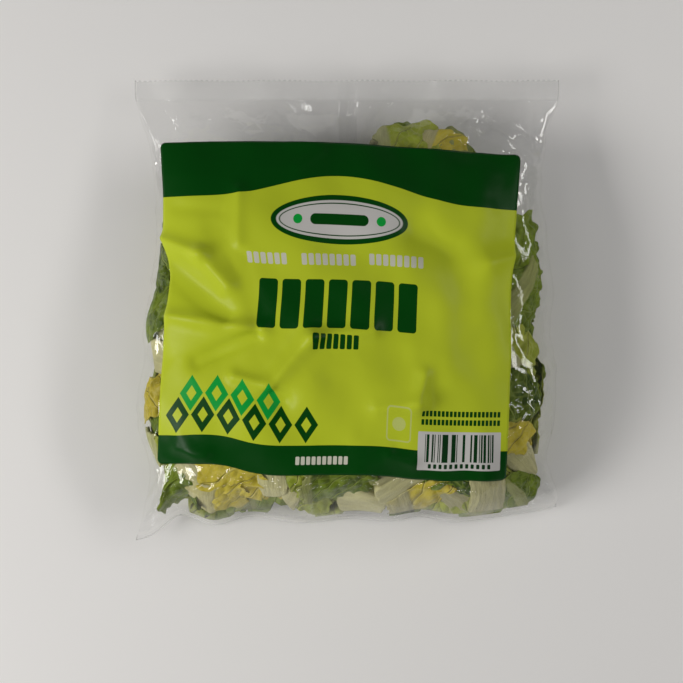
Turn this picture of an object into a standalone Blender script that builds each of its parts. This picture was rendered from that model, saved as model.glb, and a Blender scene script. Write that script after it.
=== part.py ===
"""Clear sealed film bag of chopped salad leaves with a wide stuck-on label, lying on its back.

The bag is one closed solid out to its film: a pillow with a flat resting patch underneath, a straight
crimped seal at the top, a wavy seal that droops at the bottom and an ear at the bottom left corner.
The label is a thin skin that follows the film's crown, with its dents and folds.
X runs to the right of the label, Y runs to its top and Z points up, away from the resting patch.
"""

import bpy
import numpy as np

MM = 0.001

# Driving sizes of the bag, in millimetres
FLAT_HALF_WIDTH = 102.0
TOP_EDGE_Y = 110.9
BOTTOM_EDGE_Y = -101.0
SEAL_WIDTH = 10.0
SEAL_HALF_THICKNESS = 0.5
BOTTOM_SEAL_ROOT_Y = -96.5
SECTION_POWER = 2.2
TYPICAL_BULGE_SHARE = 0.31

# Half outlines at the widest line, as (distance along the bag, distance across it)
LEFT_EDGE = ((-101.0, -102.0), (-90.0, -98.5), (-72.0, -93.5), (-56.0, -97.5), (-38.0, -98.6), (-20.0, -95.5),
             (-9.0, -97.0), (12.0, -92.5), (34.0, -90.0), (60.0, -91.5), (84.0, -95.0), (100.9, -101.3),
             (110.9, -102.0))
RIGHT_EDGE = ((-101.0, 101.6), (-88.0, 99.0), (-72.0, 96.0), (-52.0, 98.6), (-30.0, 99.4), (-8.0, 96.8),
              (16.0, 97.8), (38.0, 94.6), (62.0, 93.0), (84.0, 96.0), (100.9, 101.3), (110.9, 102.0))

# Height of the widest line, and how far the film bulges above and below it, along the bag
SEAM_HEIGHT = ((-101.0, 2.6), (-96.5, 10.0), (-88.0, 17.5), (-70.0, 23.0), (0.0, 25.0), (50.0, 22.0),
               (80.0, 17.5), (100.9, 14.5), (110.9, 12.5))
BULGE_ABOVE = ((-96.5, 0.5), (-93.0, 11.5), (-87.0, 21.0), (-75.0, 27.0), (-50.0, 30.5), (-25.0, 31.6),
               (0.0, 31.2), (25.0, 29.0), (50.0, 24.5), (70.0, 18.5), (86.0, 10.5), (97.0, 2.6), (100.9, 0.5))
BULGE_BELOW = ((-96.5, 0.5), (-93.0, 10.0), (-87.0, 19.0), (-75.0, 26.0), (0.0, 28.5), (50.0, 25.5),
               (76.0, 17.0), (91.0, 6.0), (100.9, 0.5))

# Free edge of the bottom seal: how far it lies beyond its mean line, with the long ear at the left
BOTTOM_WAVE = ((-102.0, -9.9), (-94.0, -7.4), (-82.0, 1.6), (-64.0, -2.8), (-48.0, 1.0), (-22.0, -1.8),
               (6.0, 0.4), (22.0, -1.0), (34.0, 1.0), (52.0, -1.2), (74.0, 1.0), (102.0, 6.0))
WAVE_FADES_AT_Y = -30.0
WAVE_ROUNDS = 5
SEAL_FLUTTER = 1.6
SEAL_FLUTTER_LENGTH = 43.0
FLUTTER_STARTS_AT = 70.0
BOTTOM_FLUTTER_SHARE = 0.35
EAR_LIFT = 5.0
EAR_START_X = -78.0
EAR_STARTS_AT_Y = -80.0

# Soft lumps that the leaves press into the film
LUMP_COUNT = 12
LUMP_HEIGHT = 0.62
LUMP_LONGEST = 52.0
LUMP_SHORTEST = 24.0
LUMP_SEED = 11
BACK_LUMP_SHIFT = 2.0
LUMPS_LEFT_UNDER_LABEL = 0.35
RELIEF_STARTS_AT_BULGE = 1.0
RELIEF_FULL_AT_BULGE = 16.0
SIDE_FADE_POWER = 4

# Label: corners in plan, edge thickness and the gap to the film
LABEL_TOP_LEFT = (-88.6, 79.6)
LABEL_TOP_RIGHT = (82.0, 73.0)
LABEL_BOTTOM_RIGHT = (74.6, -79.8)
LABEL_BOTTOM_LEFT = (-89.0, -72.2)
LABEL_CORNER = 2.6
LABEL_GAP = 0.6
LABEL_THICKNESS = 0.6
LABEL_RECESS = 0.4
LABEL_FADE = 9.0
LABEL_COLUMNS = 30
LABEL_ROWS = 27

# How far each edge of the label bows from straight, as (place along the edge, shift)
LABEL_LEFT_BOW = ((-72.2, 0.0), (-50.0, 1.4), (-10.0, 3.8), (17.0, 5.6), (32.0, 3.0), (55.0, 2.2),
                  (79.6, 0.0))
LABEL_RIGHT_BOW = ((-79.8, 0.0), (-43.0, -1.0), (-14.0, -1.6), (12.0, -2.5), (35.0, -1.8), (73.0, 0.0))
LABEL_TOP_BOW = ((-88.6, 0.0), (-50.0, 1.5), (-8.0, 2.4), (22.0, 1.6), (44.0, 0.9), (82.0, 0.0))
LABEL_BOTTOM_BOW = ((-89.0, 0.0), (-56.0, 1.3), (-44.0, -1.2), (-4.0, -0.5), (14.0, 0.0), (34.0, -1.0),
                    (74.6, 0.0))

# Dents and folds pressed into the label: start, end, half width and height of each
LABEL_FOLDS = (((-86.0, 33.5), (-68.0, 26.0), 5.0, 1.9), ((-68.0, 26.0), (-55.0, 11.0), 5.5, 1.7),
               ((-85.0, 21.0), (-56.0, -3.0), 6.0, -2.3), ((-82.0, -3.0), (-39.0, -9.6), 5.0, 1.7),
               ((-69.0, -24.0), (-42.0, -11.5), 5.0, -1.9), ((12.0, -9.5), (-16.0, -13.0), 5.0, 1.3),
               ((-16.0, -13.0), (-34.5, -35.0), 5.5, 1.6), ((-52.0, -31.0), (-37.0, -35.0), 4.5, 1.4),
               ((-34.0, -38.5), (-30.0, -42.0), 5.5, -1.8), ((36.0, -30.0), (33.0, -43.5), 5.0, 1.2),
               ((14.0, -45.5), (33.0, -43.5), 5.0, 1.0), ((66.0, 21.5), (80.0, 25.0), 7.0, 1.6),
               ((34.0, 37.0), (48.0, 28.0), 9.0, -1.8), ((-79.0, -64.0), (-66.0, -67.5), 5.0, 1.2),
               ((20.0, -67.0), (30.0, -70.5), 5.0, 0.9), ((-50.4, 56.0), (-50.4, 31.0), 4.5, 0.8))

# Mesh fineness
POINTS_ACROSS = 44
BOTTOM_SHOULDER_Y = -80.0
TOP_SHOULDER_Y = 82.0
BODY_RINGS = 32
SHOULDER_RINGS = 7
TOP_SHOULDER_RINGS = 5
SEAL_RINGS = 3
SECTION_SAMPLES = 4001
SLOPE_STEP = 0.25

# Colour and roughness of each sub-part
FILM_OVER_LEAVES = (0.42, 0.45, 0.18)
FILM_ROUGHNESS = 0.25
LABEL_LIME = (0.30, 0.42, 0.03)
LABEL_ROUGHNESS = 0.45


def through(points, at):
    """Smooth curve through (position, value) points, made of cubic pieces with shared slopes."""
    place, value = np.array(points, dtype=float).T
    at = np.clip(at, place[0], place[-1])
    slope = np.gradient(value, place)
    index = np.clip(np.searchsorted(place, at) - 1, 0, len(place) - 2)
    span = place[index + 1] - place[index]
    t = (at - place[index]) / span
    start = value[index] * (1 + 2 * t) * (1 - t) ** 2 + slope[index] * span * t * (1 - t) ** 2
    end = value[index + 1] * t ** 2 * (3 - 2 * t) + slope[index + 1] * span * t ** 2 * (t - 1)
    return start + end


def ease(value, low, high):
    """Smooth step from 0 at low to 1 at high."""
    t = np.clip((value - low) / (high - low), 0.0, 1.0)
    return t * t * (3 - 2 * t)


def bottom_pull(x, along):
    """How far the wave of the bottom seal shifts a point, fading away towards the middle of the bag."""
    reach = ease(-along, -WAVE_FADES_AT_Y, -BOTTOM_EDGE_Y)
    return through(BOTTOM_WAVE, x) * reach


def along_bag(x, y):
    """Distance along the bag of a point in plan: the wave of the bottom seal is taken out again."""
    along = np.array(y, dtype=float)
    for _ in range(WAVE_ROUNDS):
        along = y - bottom_pull(x, along)
    return along


def lumps(x, y, shift):
    """Sum of soft plane waves with seeded directions, each of the size of a chopped leaf."""
    random = np.random.default_rng(LUMP_SEED)
    total = np.zeros(np.broadcast(x, y).shape)
    for _ in range(LUMP_COUNT):
        length = random.uniform(LUMP_SHORTEST, LUMP_LONGEST)
        angle, phase = random.uniform(0.0, 2 * np.pi, 2)
        total += np.sin(2 * np.pi * (x * np.cos(angle) + y * np.sin(angle)) / length + phase + shift)
    return LUMP_HEIGHT * total


def under_label(x, y):
    """Share from 0 off the label to 1 well inside it, eased over the fade at its four edges."""
    (low_x, low_y), (high_x, high_y) = LABEL_BOTTOM_RIGHT, LABEL_TOP_RIGHT
    left = x - LABEL_BOTTOM_LEFT[0]
    right = np.interp(y, (low_y, high_y), (low_x, high_x)) - x
    slope = (high_y - LABEL_TOP_LEFT[1]) / (high_x - LABEL_TOP_LEFT[0])
    top = LABEL_TOP_LEFT[1] + slope * (x - LABEL_TOP_LEFT[0]) - y
    bottom = y - LABEL_BOTTOM_LEFT[1] - slope * (x - LABEL_BOTTOM_LEFT[0])
    share = 1.0
    for inside in (left, right, top, bottom):
        share = share * ease(inside, -LABEL_FADE, LABEL_FADE)
    return share


def fold_relief(x, y):
    """Height of all the label's folds: each is a rounded bar along its segment."""
    total = np.zeros(np.broadcast(x, y).shape)
    for (x0, y0), (x1, y1), half_width, height in LABEL_FOLDS:
        run = np.hypot(x1 - x0, y1 - y0)
        t = np.clip(((x - x0) * (x1 - x0) + (y - y0) * (y1 - y0)) / run ** 2, 0.0, 1.0)
        away = np.hypot(x - x0 - t * (x1 - x0), y - y0 - t * (y1 - y0))
        total += height * np.exp(-(away / half_width) ** 2)
    return total


def seam(x, along):
    """Height of the widest line, with the flutter of both seals and the lifted ear."""
    near_seal = ease(np.abs(along), FLUTTER_STARTS_AT, TOP_EDGE_Y)
    flutter = SEAL_FLUTTER * np.sin(2 * np.pi * x / SEAL_FLUTTER_LENGTH) * near_seal
    bottom = ease(-along, -EAR_STARTS_AT_Y, -BOTTOM_EDGE_Y)
    ear = EAR_LIFT * ease(-x, -EAR_START_X, FLAT_HALF_WIDTH) * bottom
    return through(SEAM_HEIGHT, along) + flutter * np.where(along > 0, 1.0, BOTTOM_FLUTTER_SHARE) + ear


def section(across, along, bulge):
    """Bulge at a place across the section: a superellipse quarter on each side of the middle."""
    dome = np.maximum(1.0 - np.abs(across) ** SECTION_POWER, 0.0) ** (1.0 / SECTION_POWER)
    return np.maximum(through(bulge, along), SEAL_HALF_THICKNESS) * dome


def relief_share(across, along):
    """Share of the relief that shows: none at the side edges and on the seals."""
    across_share = 1.0 - np.abs(across) ** SIDE_FADE_POWER
    return across_share * ease(through(BULGE_ABOVE, along), RELIEF_STARTS_AT_BULGE, RELIEF_FULL_AT_BULGE)


def film_above(x, along, across):
    """Height of the upper film."""
    y = along + bottom_pull(x, along)
    covered = under_label(x, y)
    relief = lumps(x, y, 0.0) * (1 - covered * (1 - LUMPS_LEFT_UNDER_LABEL)) + fold_relief(x, y) * covered
    return seam(x, along) + section(across, along, BULGE_ABOVE) + relief * relief_share(across, along)


def film_below(x, along, across):
    """Height of the lower film, pressed flat where it would pass through the resting plane."""
    y = along + bottom_pull(x, along)
    relief = lumps(x, y, BACK_LUMP_SHIFT) * relief_share(across, along)
    return np.maximum(seam(x, along) - section(across, along, BULGE_BELOW) - relief, 0.0)


def edges(along):
    """Middle and half width of the bag at a distance along it."""
    left, right = through(LEFT_EDGE, along), through(RIGHT_EDGE, along)
    return (left + right) / 2, (right - left) / 2


def crown(x, y):
    """Height of the upper film over a point in plan."""
    along = along_bag(x, y)
    middle, half = edges(along)
    across = np.clip((x - middle) / half, -1.0, 1.0)
    return film_above(x, along, across)


def even_across(count):
    """Places across the section, from -1 to 1, at equal steps along a typical film section."""
    angle = np.linspace(np.pi, 0.0, SECTION_SAMPLES)
    across = np.sign(np.cos(angle)) * np.abs(np.cos(angle)) ** (2 / SECTION_POWER)
    rise = np.abs(np.sin(angle)) ** (2 / SECTION_POWER) * TYPICAL_BULGE_SHARE
    length = np.concatenate(([0.0], np.cumsum(np.hypot(np.diff(across), np.diff(rise)))))
    places = np.interp(np.linspace(0.0, length[-1], count + 1), length, across)
    places[0], places[-1] = -1.0, 1.0
    return places


def ring_stations():
    """Distances along the bag of its rings: close at the seals and shoulders, wider between."""
    top_root = TOP_EDGE_Y - SEAL_WIDTH
    bottom_seal = np.linspace(BOTTOM_EDGE_Y, BOTTOM_SEAL_ROOT_Y, SEAL_RINGS)
    bottom_shoulder = np.linspace(BOTTOM_SEAL_ROOT_Y, BOTTOM_SHOULDER_Y, SHOULDER_RINGS)[1:]
    body = np.linspace(BOTTOM_SHOULDER_Y, TOP_SHOULDER_Y, BODY_RINGS)[1:]
    top_shoulder = np.linspace(TOP_SHOULDER_Y, top_root, TOP_SHOULDER_RINGS)[1:]
    top_seal = np.linspace(top_root, TOP_EDGE_Y, SEAL_RINGS)[1:]
    return np.concatenate((bottom_seal, bottom_shoulder, body, top_shoulder, top_seal))


def make_object(name, points, faces, colour, roughness):
    """Mesh object from points in millimetres, with its own material."""
    mesh = bpy.data.meshes.new(name)
    mesh.from_pydata((np.asarray(points) * MM).tolist(), [], faces)
    mesh.validate()
    mesh.shade_smooth()
    material = bpy.data.materials.new(name)
    material.use_nodes = True
    shader = material.node_tree.nodes["Principled BSDF"]
    shader.inputs["Base Color"].default_value = (*colour, 1.0)
    shader.inputs["Roughness"].default_value = roughness
    shader.inputs["Metallic"].default_value = 0.0
    mesh.materials.append(material)
    item = bpy.data.objects.new(name, mesh)
    bpy.context.scene.collection.objects.link(item)
    return item


def make_bag():
    """Loft of rings from the bottom seal to the top seal, closed by a strip at each seal's edge.

    The film lies a little lower under the label, so that the flat facets of both keep their gap.
    """
    across = even_across(POINTS_ACROSS)
    along = ring_stations()[:, None]
    middle, half = edges(along)
    x = middle + half * across[None, :]
    y = along + bottom_pull(x, along)
    recess = LABEL_RECESS * under_label(x, y) * relief_share(across, along)
    above = np.stack((x, y, film_above(x, along, across) - recess), axis=-1)
    below = np.stack((x, y, film_below(x, along, across)), axis=-1)
    below[:, 0], below[:, -1] = above[:, 0], above[:, -1]
    rings = np.concatenate((above, below[:, -2:0:-1]), axis=1)
    ring_count, size = rings.shape[:2]
    faces = []
    for ring in range(ring_count - 1):
        for point in range(size):
            following = (point + 1) % size
            a, b = ring * size + point, ring * size + following
            c, d = b + size, a + size
            faces += [(a, b, c), (a, c, d)]
    last = (ring_count - 1) * size
    for point in range(POINTS_ACROSS):
        upper, upper_next = point, point + 1
        lower, lower_next = (size - point) % size, size - point - 1
        for start, flip in ((0, False), (last, True)):
            corners = [start + upper, start + lower, start + lower_next, start + upper_next]
            corners = list(dict.fromkeys(corners))
            if flip:
                corners.reverse()
            faces += [(corners[0], corners[k], corners[k + 1]) for k in range(1, len(corners) - 1)]
    return make_object("bag", rings.reshape(-1, 3), faces, FILM_OVER_LEAVES, FILM_ROUGHNESS)


def label_plan(u, v):
    """Plan point of the label at shares u across and v up it: blended corners plus its edges' bow."""
    corners = [np.array(corner) for corner in
               (LABEL_BOTTOM_LEFT, LABEL_BOTTOM_RIGHT, LABEL_TOP_LEFT, LABEL_TOP_RIGHT)]
    u, v = u[..., None], v[..., None]
    low = corners[0] * (1 - u) + corners[1] * u
    high = corners[2] * (1 - u) + corners[3] * u
    plan = low * (1 - v) + high * v
    x, y, u, v = plan[..., 0], plan[..., 1], u[..., 0], v[..., 0]
    shift_x = through(LABEL_LEFT_BOW, y) * (1 - u) + through(LABEL_RIGHT_BOW, y) * u
    shift_y = through(LABEL_BOTTOM_BOW, x) * (1 - v) + through(LABEL_TOP_BOW, x) * v
    return np.stack((x + shift_x, y + shift_y), axis=-1)


def film_normal(x, y):
    """Upward unit normal of the upper film, from its slopes over half a millimetre."""
    step = SLOPE_STEP
    slope_x = (crown(x + step, y) - crown(x - step, y)) / (2 * step)
    slope_y = (crown(x, y + step) - crown(x, y - step)) / (2 * step)
    normal = np.stack((-slope_x, -slope_y, np.ones_like(slope_x)), axis=-1)
    return normal / np.linalg.norm(normal, axis=-1, keepdims=True)


def label_steps(length, count, corner):
    """Shares along one side of the label, with a step of the corner's radius at both ends."""
    inner = np.linspace(corner, length - corner, count - 1)
    return np.concatenate(([0.0], inner, [length])) / length


def make_label():
    """Thin closed skin on a grid that follows the film's crown, one gap above it."""
    width = LABEL_TOP_RIGHT[0] - LABEL_TOP_LEFT[0]
    height = LABEL_TOP_LEFT[1] - LABEL_BOTTOM_LEFT[1]
    across = label_steps(width, LABEL_COLUMNS, LABEL_CORNER)
    up = label_steps(height, LABEL_ROWS, LABEL_CORNER)
    u, v = np.meshgrid(across, up)
    cut = LABEL_CORNER * (1 - np.sqrt(0.5))
    for row, column in ((0, 0), (0, -1), (-1, 0), (-1, -1)):
        u[row, column] += cut / width * (1 if column == 0 else -1)
        v[row, column] += cut / height * (1 if row == 0 else -1)
    plan = label_plan(u, v)
    x, y = plan[..., 0], plan[..., 1]
    base = np.stack((x, y, crown(x, y)), axis=-1)
    normal = film_normal(x, y)
    lower = base + normal * LABEL_GAP
    upper = base + normal * (LABEL_GAP + LABEL_THICKNESS)
    rows, columns = x.shape
    points = np.concatenate((upper.reshape(-1, 3), lower.reshape(-1, 3)))
    index = np.arange(rows * columns).reshape(rows, columns)
    a, b = index[:-1, :-1].ravel(), index[:-1, 1:].ravel()
    c, d = index[1:, 1:].ravel(), index[1:, :-1].ravel()
    under = rows * columns
    faces = [*zip(a, b, c), *zip(a, c, d)]
    faces += [*zip(a + under, c + under, b + under), *zip(a + under, d + under, c + under)]
    rim = [*index[0, :-1], *index[:-1, -1], *index[-1, :0:-1], *index[:0:-1, 0]]
    for start, end in zip(rim, rim[1:] + rim[:1]):
        faces += [(start, start + under, end + under), (start, end + under, end)]
    faces = [tuple(int(k) for k in face) for face in faces]
    return make_object("label", points, faces, LABEL_LIME, LABEL_ROUGHNESS)


def main():
    """Clear the scene, then make the bag and its label."""
    for item in list(bpy.data.objects):
        bpy.data.objects.remove(item)
    make_bag()
    make_label()


main()
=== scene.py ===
"""Looks of the clear sealed bag of chopped salad leaves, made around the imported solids.

All lengths are in millimetres until a mesh is made. X runs to the right of the label, Y runs to its
top and Z points up, away from the patch of film that the bag rests on. A place on the bag's skin is
given by `along`, the distance along the bag, and `turn`, from -1 at the middle of the back, round the
left side to 0 at the middle of the front, and round the right side to 1 at the middle of the back.
"""

from __future__ import annotations

import logging
from dataclasses import dataclass, field
from enum import Enum
from functools import reduce

import bpy
import numpy as np
from numpy.typing import NDArray
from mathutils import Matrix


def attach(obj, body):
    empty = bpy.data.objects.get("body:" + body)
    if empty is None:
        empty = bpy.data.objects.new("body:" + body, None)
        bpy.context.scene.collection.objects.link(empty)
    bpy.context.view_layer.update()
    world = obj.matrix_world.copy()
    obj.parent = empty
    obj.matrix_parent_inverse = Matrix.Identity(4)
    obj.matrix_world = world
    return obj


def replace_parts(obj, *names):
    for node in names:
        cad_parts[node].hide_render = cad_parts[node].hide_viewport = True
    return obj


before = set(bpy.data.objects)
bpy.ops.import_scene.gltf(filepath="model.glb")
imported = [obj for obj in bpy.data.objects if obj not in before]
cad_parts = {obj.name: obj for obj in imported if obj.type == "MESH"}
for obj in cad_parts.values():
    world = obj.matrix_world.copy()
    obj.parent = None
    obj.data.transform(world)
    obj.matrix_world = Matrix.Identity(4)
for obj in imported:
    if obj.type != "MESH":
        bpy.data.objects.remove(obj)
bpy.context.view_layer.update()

MM = 0.001
UV_MM = 100.0
FACET_TABLE = 256
NOISE_HEIGHT = 0.7
LOG = logging.getLogger("salad_bag")
Array = NDArray[np.float64]
Faces = NDArray[np.int64]
Pair = tuple[float, float]
Triple = tuple[float, float, float]
Points = tuple[Pair, ...]
Folds = tuple[tuple[Pair, Pair, float, float], ...]
Layers = tuple[tuple[float, float, float, float, int], ...]
Colour = Triple
Piece = bpy.types.Object
Material = bpy.types.Material
Node = bpy.types.Node
Socket = bpy.types.NodeSocket
Tree = bpy.types.NodeTree

class Kind(Enum):
    """Sorts of chopped leaf that show through the film."""

    GREEN = "leaves_green"
    LIGHT = "leaves_light"
    HEART = "leaves_heart"
    RIB = "leaf_ribs"


def through(points: Points, at: Array) -> Array:
    """Smooth curve through points, made of cubic pieces that share their slopes.

    Each piece is the cubic Hermite blend of its two end values and end slopes.

    Args:
        points: Pairs of place and value, in rising order of place.
        at: Places to read the curve at.

    Returns:
        The values there, held level beyond both ends.
    """
    place, value = np.array(points, dtype=float).T
    at = np.clip(at, place[0], place[-1])
    slope = np.gradient(value, place)
    index = np.clip(np.searchsorted(place, at) - 1, 0, len(place) - 2)
    span = place[index + 1] - place[index]
    t = (at - place[index]) / span
    start = value[index] * (1 + 2 * t) * (1 - t) ** 2 + slope[index] * span * t * (1 - t) ** 2
    end = value[index + 1] * t ** 2 * (3 - 2 * t) + slope[index + 1] * span * t ** 2 * (t - 1)
    return start + end


def ease(value: Array, low: float, high: float) -> Array:
    """Smooth step, 3t squared less 2t cubed, from 0 at low to 1 at high."""
    t = np.clip((value - low) / (high - low), 0.0, 1.0)
    return t * t * (3 - 2 * t)


def facets(x: Array, y: Array, size: float, seed: int) -> Array:
    """Flat triangular facets with straight creases between them, as pulled film shows.

    Random heights at the corners of a skewed triangle lattice are joined by flat planes.

    Args:
        x: First coordinate of the places.
        y: Second coordinate of the places.
        size: Length of a facet's side.
        seed: Seed of the random heights.

    Returns:
        Heights from -1 to 1.
    """
    table = np.random.default_rng(seed).uniform(-1.0, 1.0, (FACET_TABLE, FACET_TABLE))
    u, v = x / size, y / size
    skew = (u + v) * (np.sqrt(3) - 1) / 2
    i, j = np.floor(u + skew).astype(int), np.floor(v + skew).astype(int)
    a, b = u + skew - i, v + skew - j

    def corner(di: int, dj: int) -> Array:
        """Random height of one lattice corner."""
        return table[(i + di) % FACET_TABLE, (j + dj) % FACET_TABLE]

    lower = corner(0, 0) + (corner(1, 0) - corner(0, 0)) * a + (corner(1, 1) - corner(1, 0)) * b
    upper = corner(0, 0) + (corner(0, 1) - corner(0, 0)) * b + (corner(1, 1) - corner(0, 1)) * a
    return np.where(a >= b, lower, upper)


def facet_layers(x: Array, y: Array, layers: Layers) -> Array:
    """Sum of facet patterns, each with its height, size, cosine and sine of its turn, and seed."""
    return sum(height * facets(cosine * x + sine * y, cosine * y - sine * x, size, seed)
               for height, size, cosine, sine, seed in layers)


def plane_waves(x: Array, y: Array, shortest: float, longest: float, count: int, seed: int,
                shift: float = 0.0) -> Array:
    """Sum of plane waves with seeded directions, lengths and phases.

    Args:
        x: First coordinate of the places.
        y: Second coordinate of the places.
        shortest: Shortest wave length.
        longest: Longest wave length.
        count: Number of waves.
        seed: Seed of the draw.
        shift: Angle added to every phase.

    Returns:
        The sum of their heights, each from -1 to 1.
    """
    random = np.random.default_rng(seed)
    total = np.zeros(np.broadcast(x, y).shape)
    for _ in range(count):
        length = random.uniform(shortest, longest)
        angle, phase = random.uniform(0.0, 2 * np.pi, 2)
        total += np.sin(2 * np.pi * (x * np.cos(angle) + y * np.sin(angle)) / length + phase + shift)
    return total


def waves(x: Array, y: Array, shortest: float, longest: float, count: int, seed: int) -> Array:
    """Soft uneven noise of about -1 to 1: a sum of plane waves, over the root of half their count."""
    return plane_waves(x, y, shortest, longest, count, seed) * np.sqrt(2 / count) * NOISE_HEIGHT


def sway(x: Array, y: Array, reach: float, sizes: Pair, count: int, seed: int) -> list[Array]:
    """Both coordinates of the places, shifted by soft noise so that straight patterns bend."""
    return [part + reach * waves(x, y, *sizes, count, seed + number) for number, part in enumerate((x, y))]


def slab_faces(rows: int, columns: int) -> list[Faces]:
    """Faces of a closed sheet: its upper grid, the lower grid that is numbered after it, and the rim.

    Args:
        rows: Rows of each grid.
        columns: Columns of each grid.

    Returns:
        Blocks of quads, all facing outwards.
    """
    size = rows * columns
    index = np.arange(size).reshape(rows, columns)
    corners = (index[:-1, :-1], index[:-1, 1:], index[1:, 1:], index[1:, :-1])
    top = np.stack([corner.ravel() for corner in corners], axis=1)
    rim = np.concatenate((index[0, :-1], index[:-1, -1], index[-1, :0:-1], index[:0:-1, 0]))
    after = np.roll(rim, -1)
    return [top, top[:, ::-1] + size, np.stack((rim, rim + size, after + size, after), axis=1)]


def make_piece(name: str, points: Array, faces: list[Faces], uv: Array | None = None,
               attributes: dict[str, Array] | None = None) -> Piece:
    """Mesh object from whole arrays.

    Args:
        name: Name of the piece.
        points: Corner points, in millimetres.
        faces: Blocks of faces, each an array of corner numbers with one row for a face.
        uv: One UV pair for each point, if the material needs it.
        attributes: One number for each point, by attribute name.

    Returns:
        The new object, in the scene's collection, at the origin.
    """
    mesh = bpy.data.meshes.new(name)
    points = np.ascontiguousarray(points.reshape(-1, 3) * MM, dtype=np.float32)
    mesh.vertices.add(len(points))
    mesh.vertices.foreach_set("co", points.ravel())
    corners = np.concatenate([block.ravel() for block in faces]).astype(np.int32)
    sizes = np.concatenate([np.full(len(block), block.shape[1]) for block in faces])
    mesh.loops.add(len(corners))
    mesh.loops.foreach_set("vertex_index", corners)
    mesh.polygons.add(len(sizes))
    mesh.polygons.foreach_set("loop_start", np.concatenate(([0], np.cumsum(sizes)[:-1])).astype(np.int32))
    mesh.update(calc_edges=True)
    if uv is not None:
        layer = mesh.uv_layers.new(name="UVMap")
        layer.data.foreach_set("uv", uv.reshape(-1, 2)[corners].astype(np.float32).ravel())
    for key, values in (attributes or {}).items():
        stored = mesh.attributes.new(key, "FLOAT", "POINT")
        stored.data.foreach_set("value", values.astype(np.float32).ravel())
    mesh.validate()
    mesh.shade_smooth()
    piece = bpy.data.objects.new(name, mesh)
    bpy.context.scene.collection.objects.link(piece)
    LOG.info("%s: %d points, %d faces", name, len(points), len(sizes))
    return piece


def make_slab(name: str, upper: Array, lower: Array, uv: Array,
              attributes: dict[str, Array] | None = None) -> Piece:
    """Closed sheet between two grids of points, with the same UV on both faces."""
    points = np.concatenate((upper.reshape(-1, 3), lower.reshape(-1, 3)))
    return make_piece(name, points, slab_faces(*uv.shape[:2]), np.tile(uv.reshape(-1, 2), (2, 1)), attributes)


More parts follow.
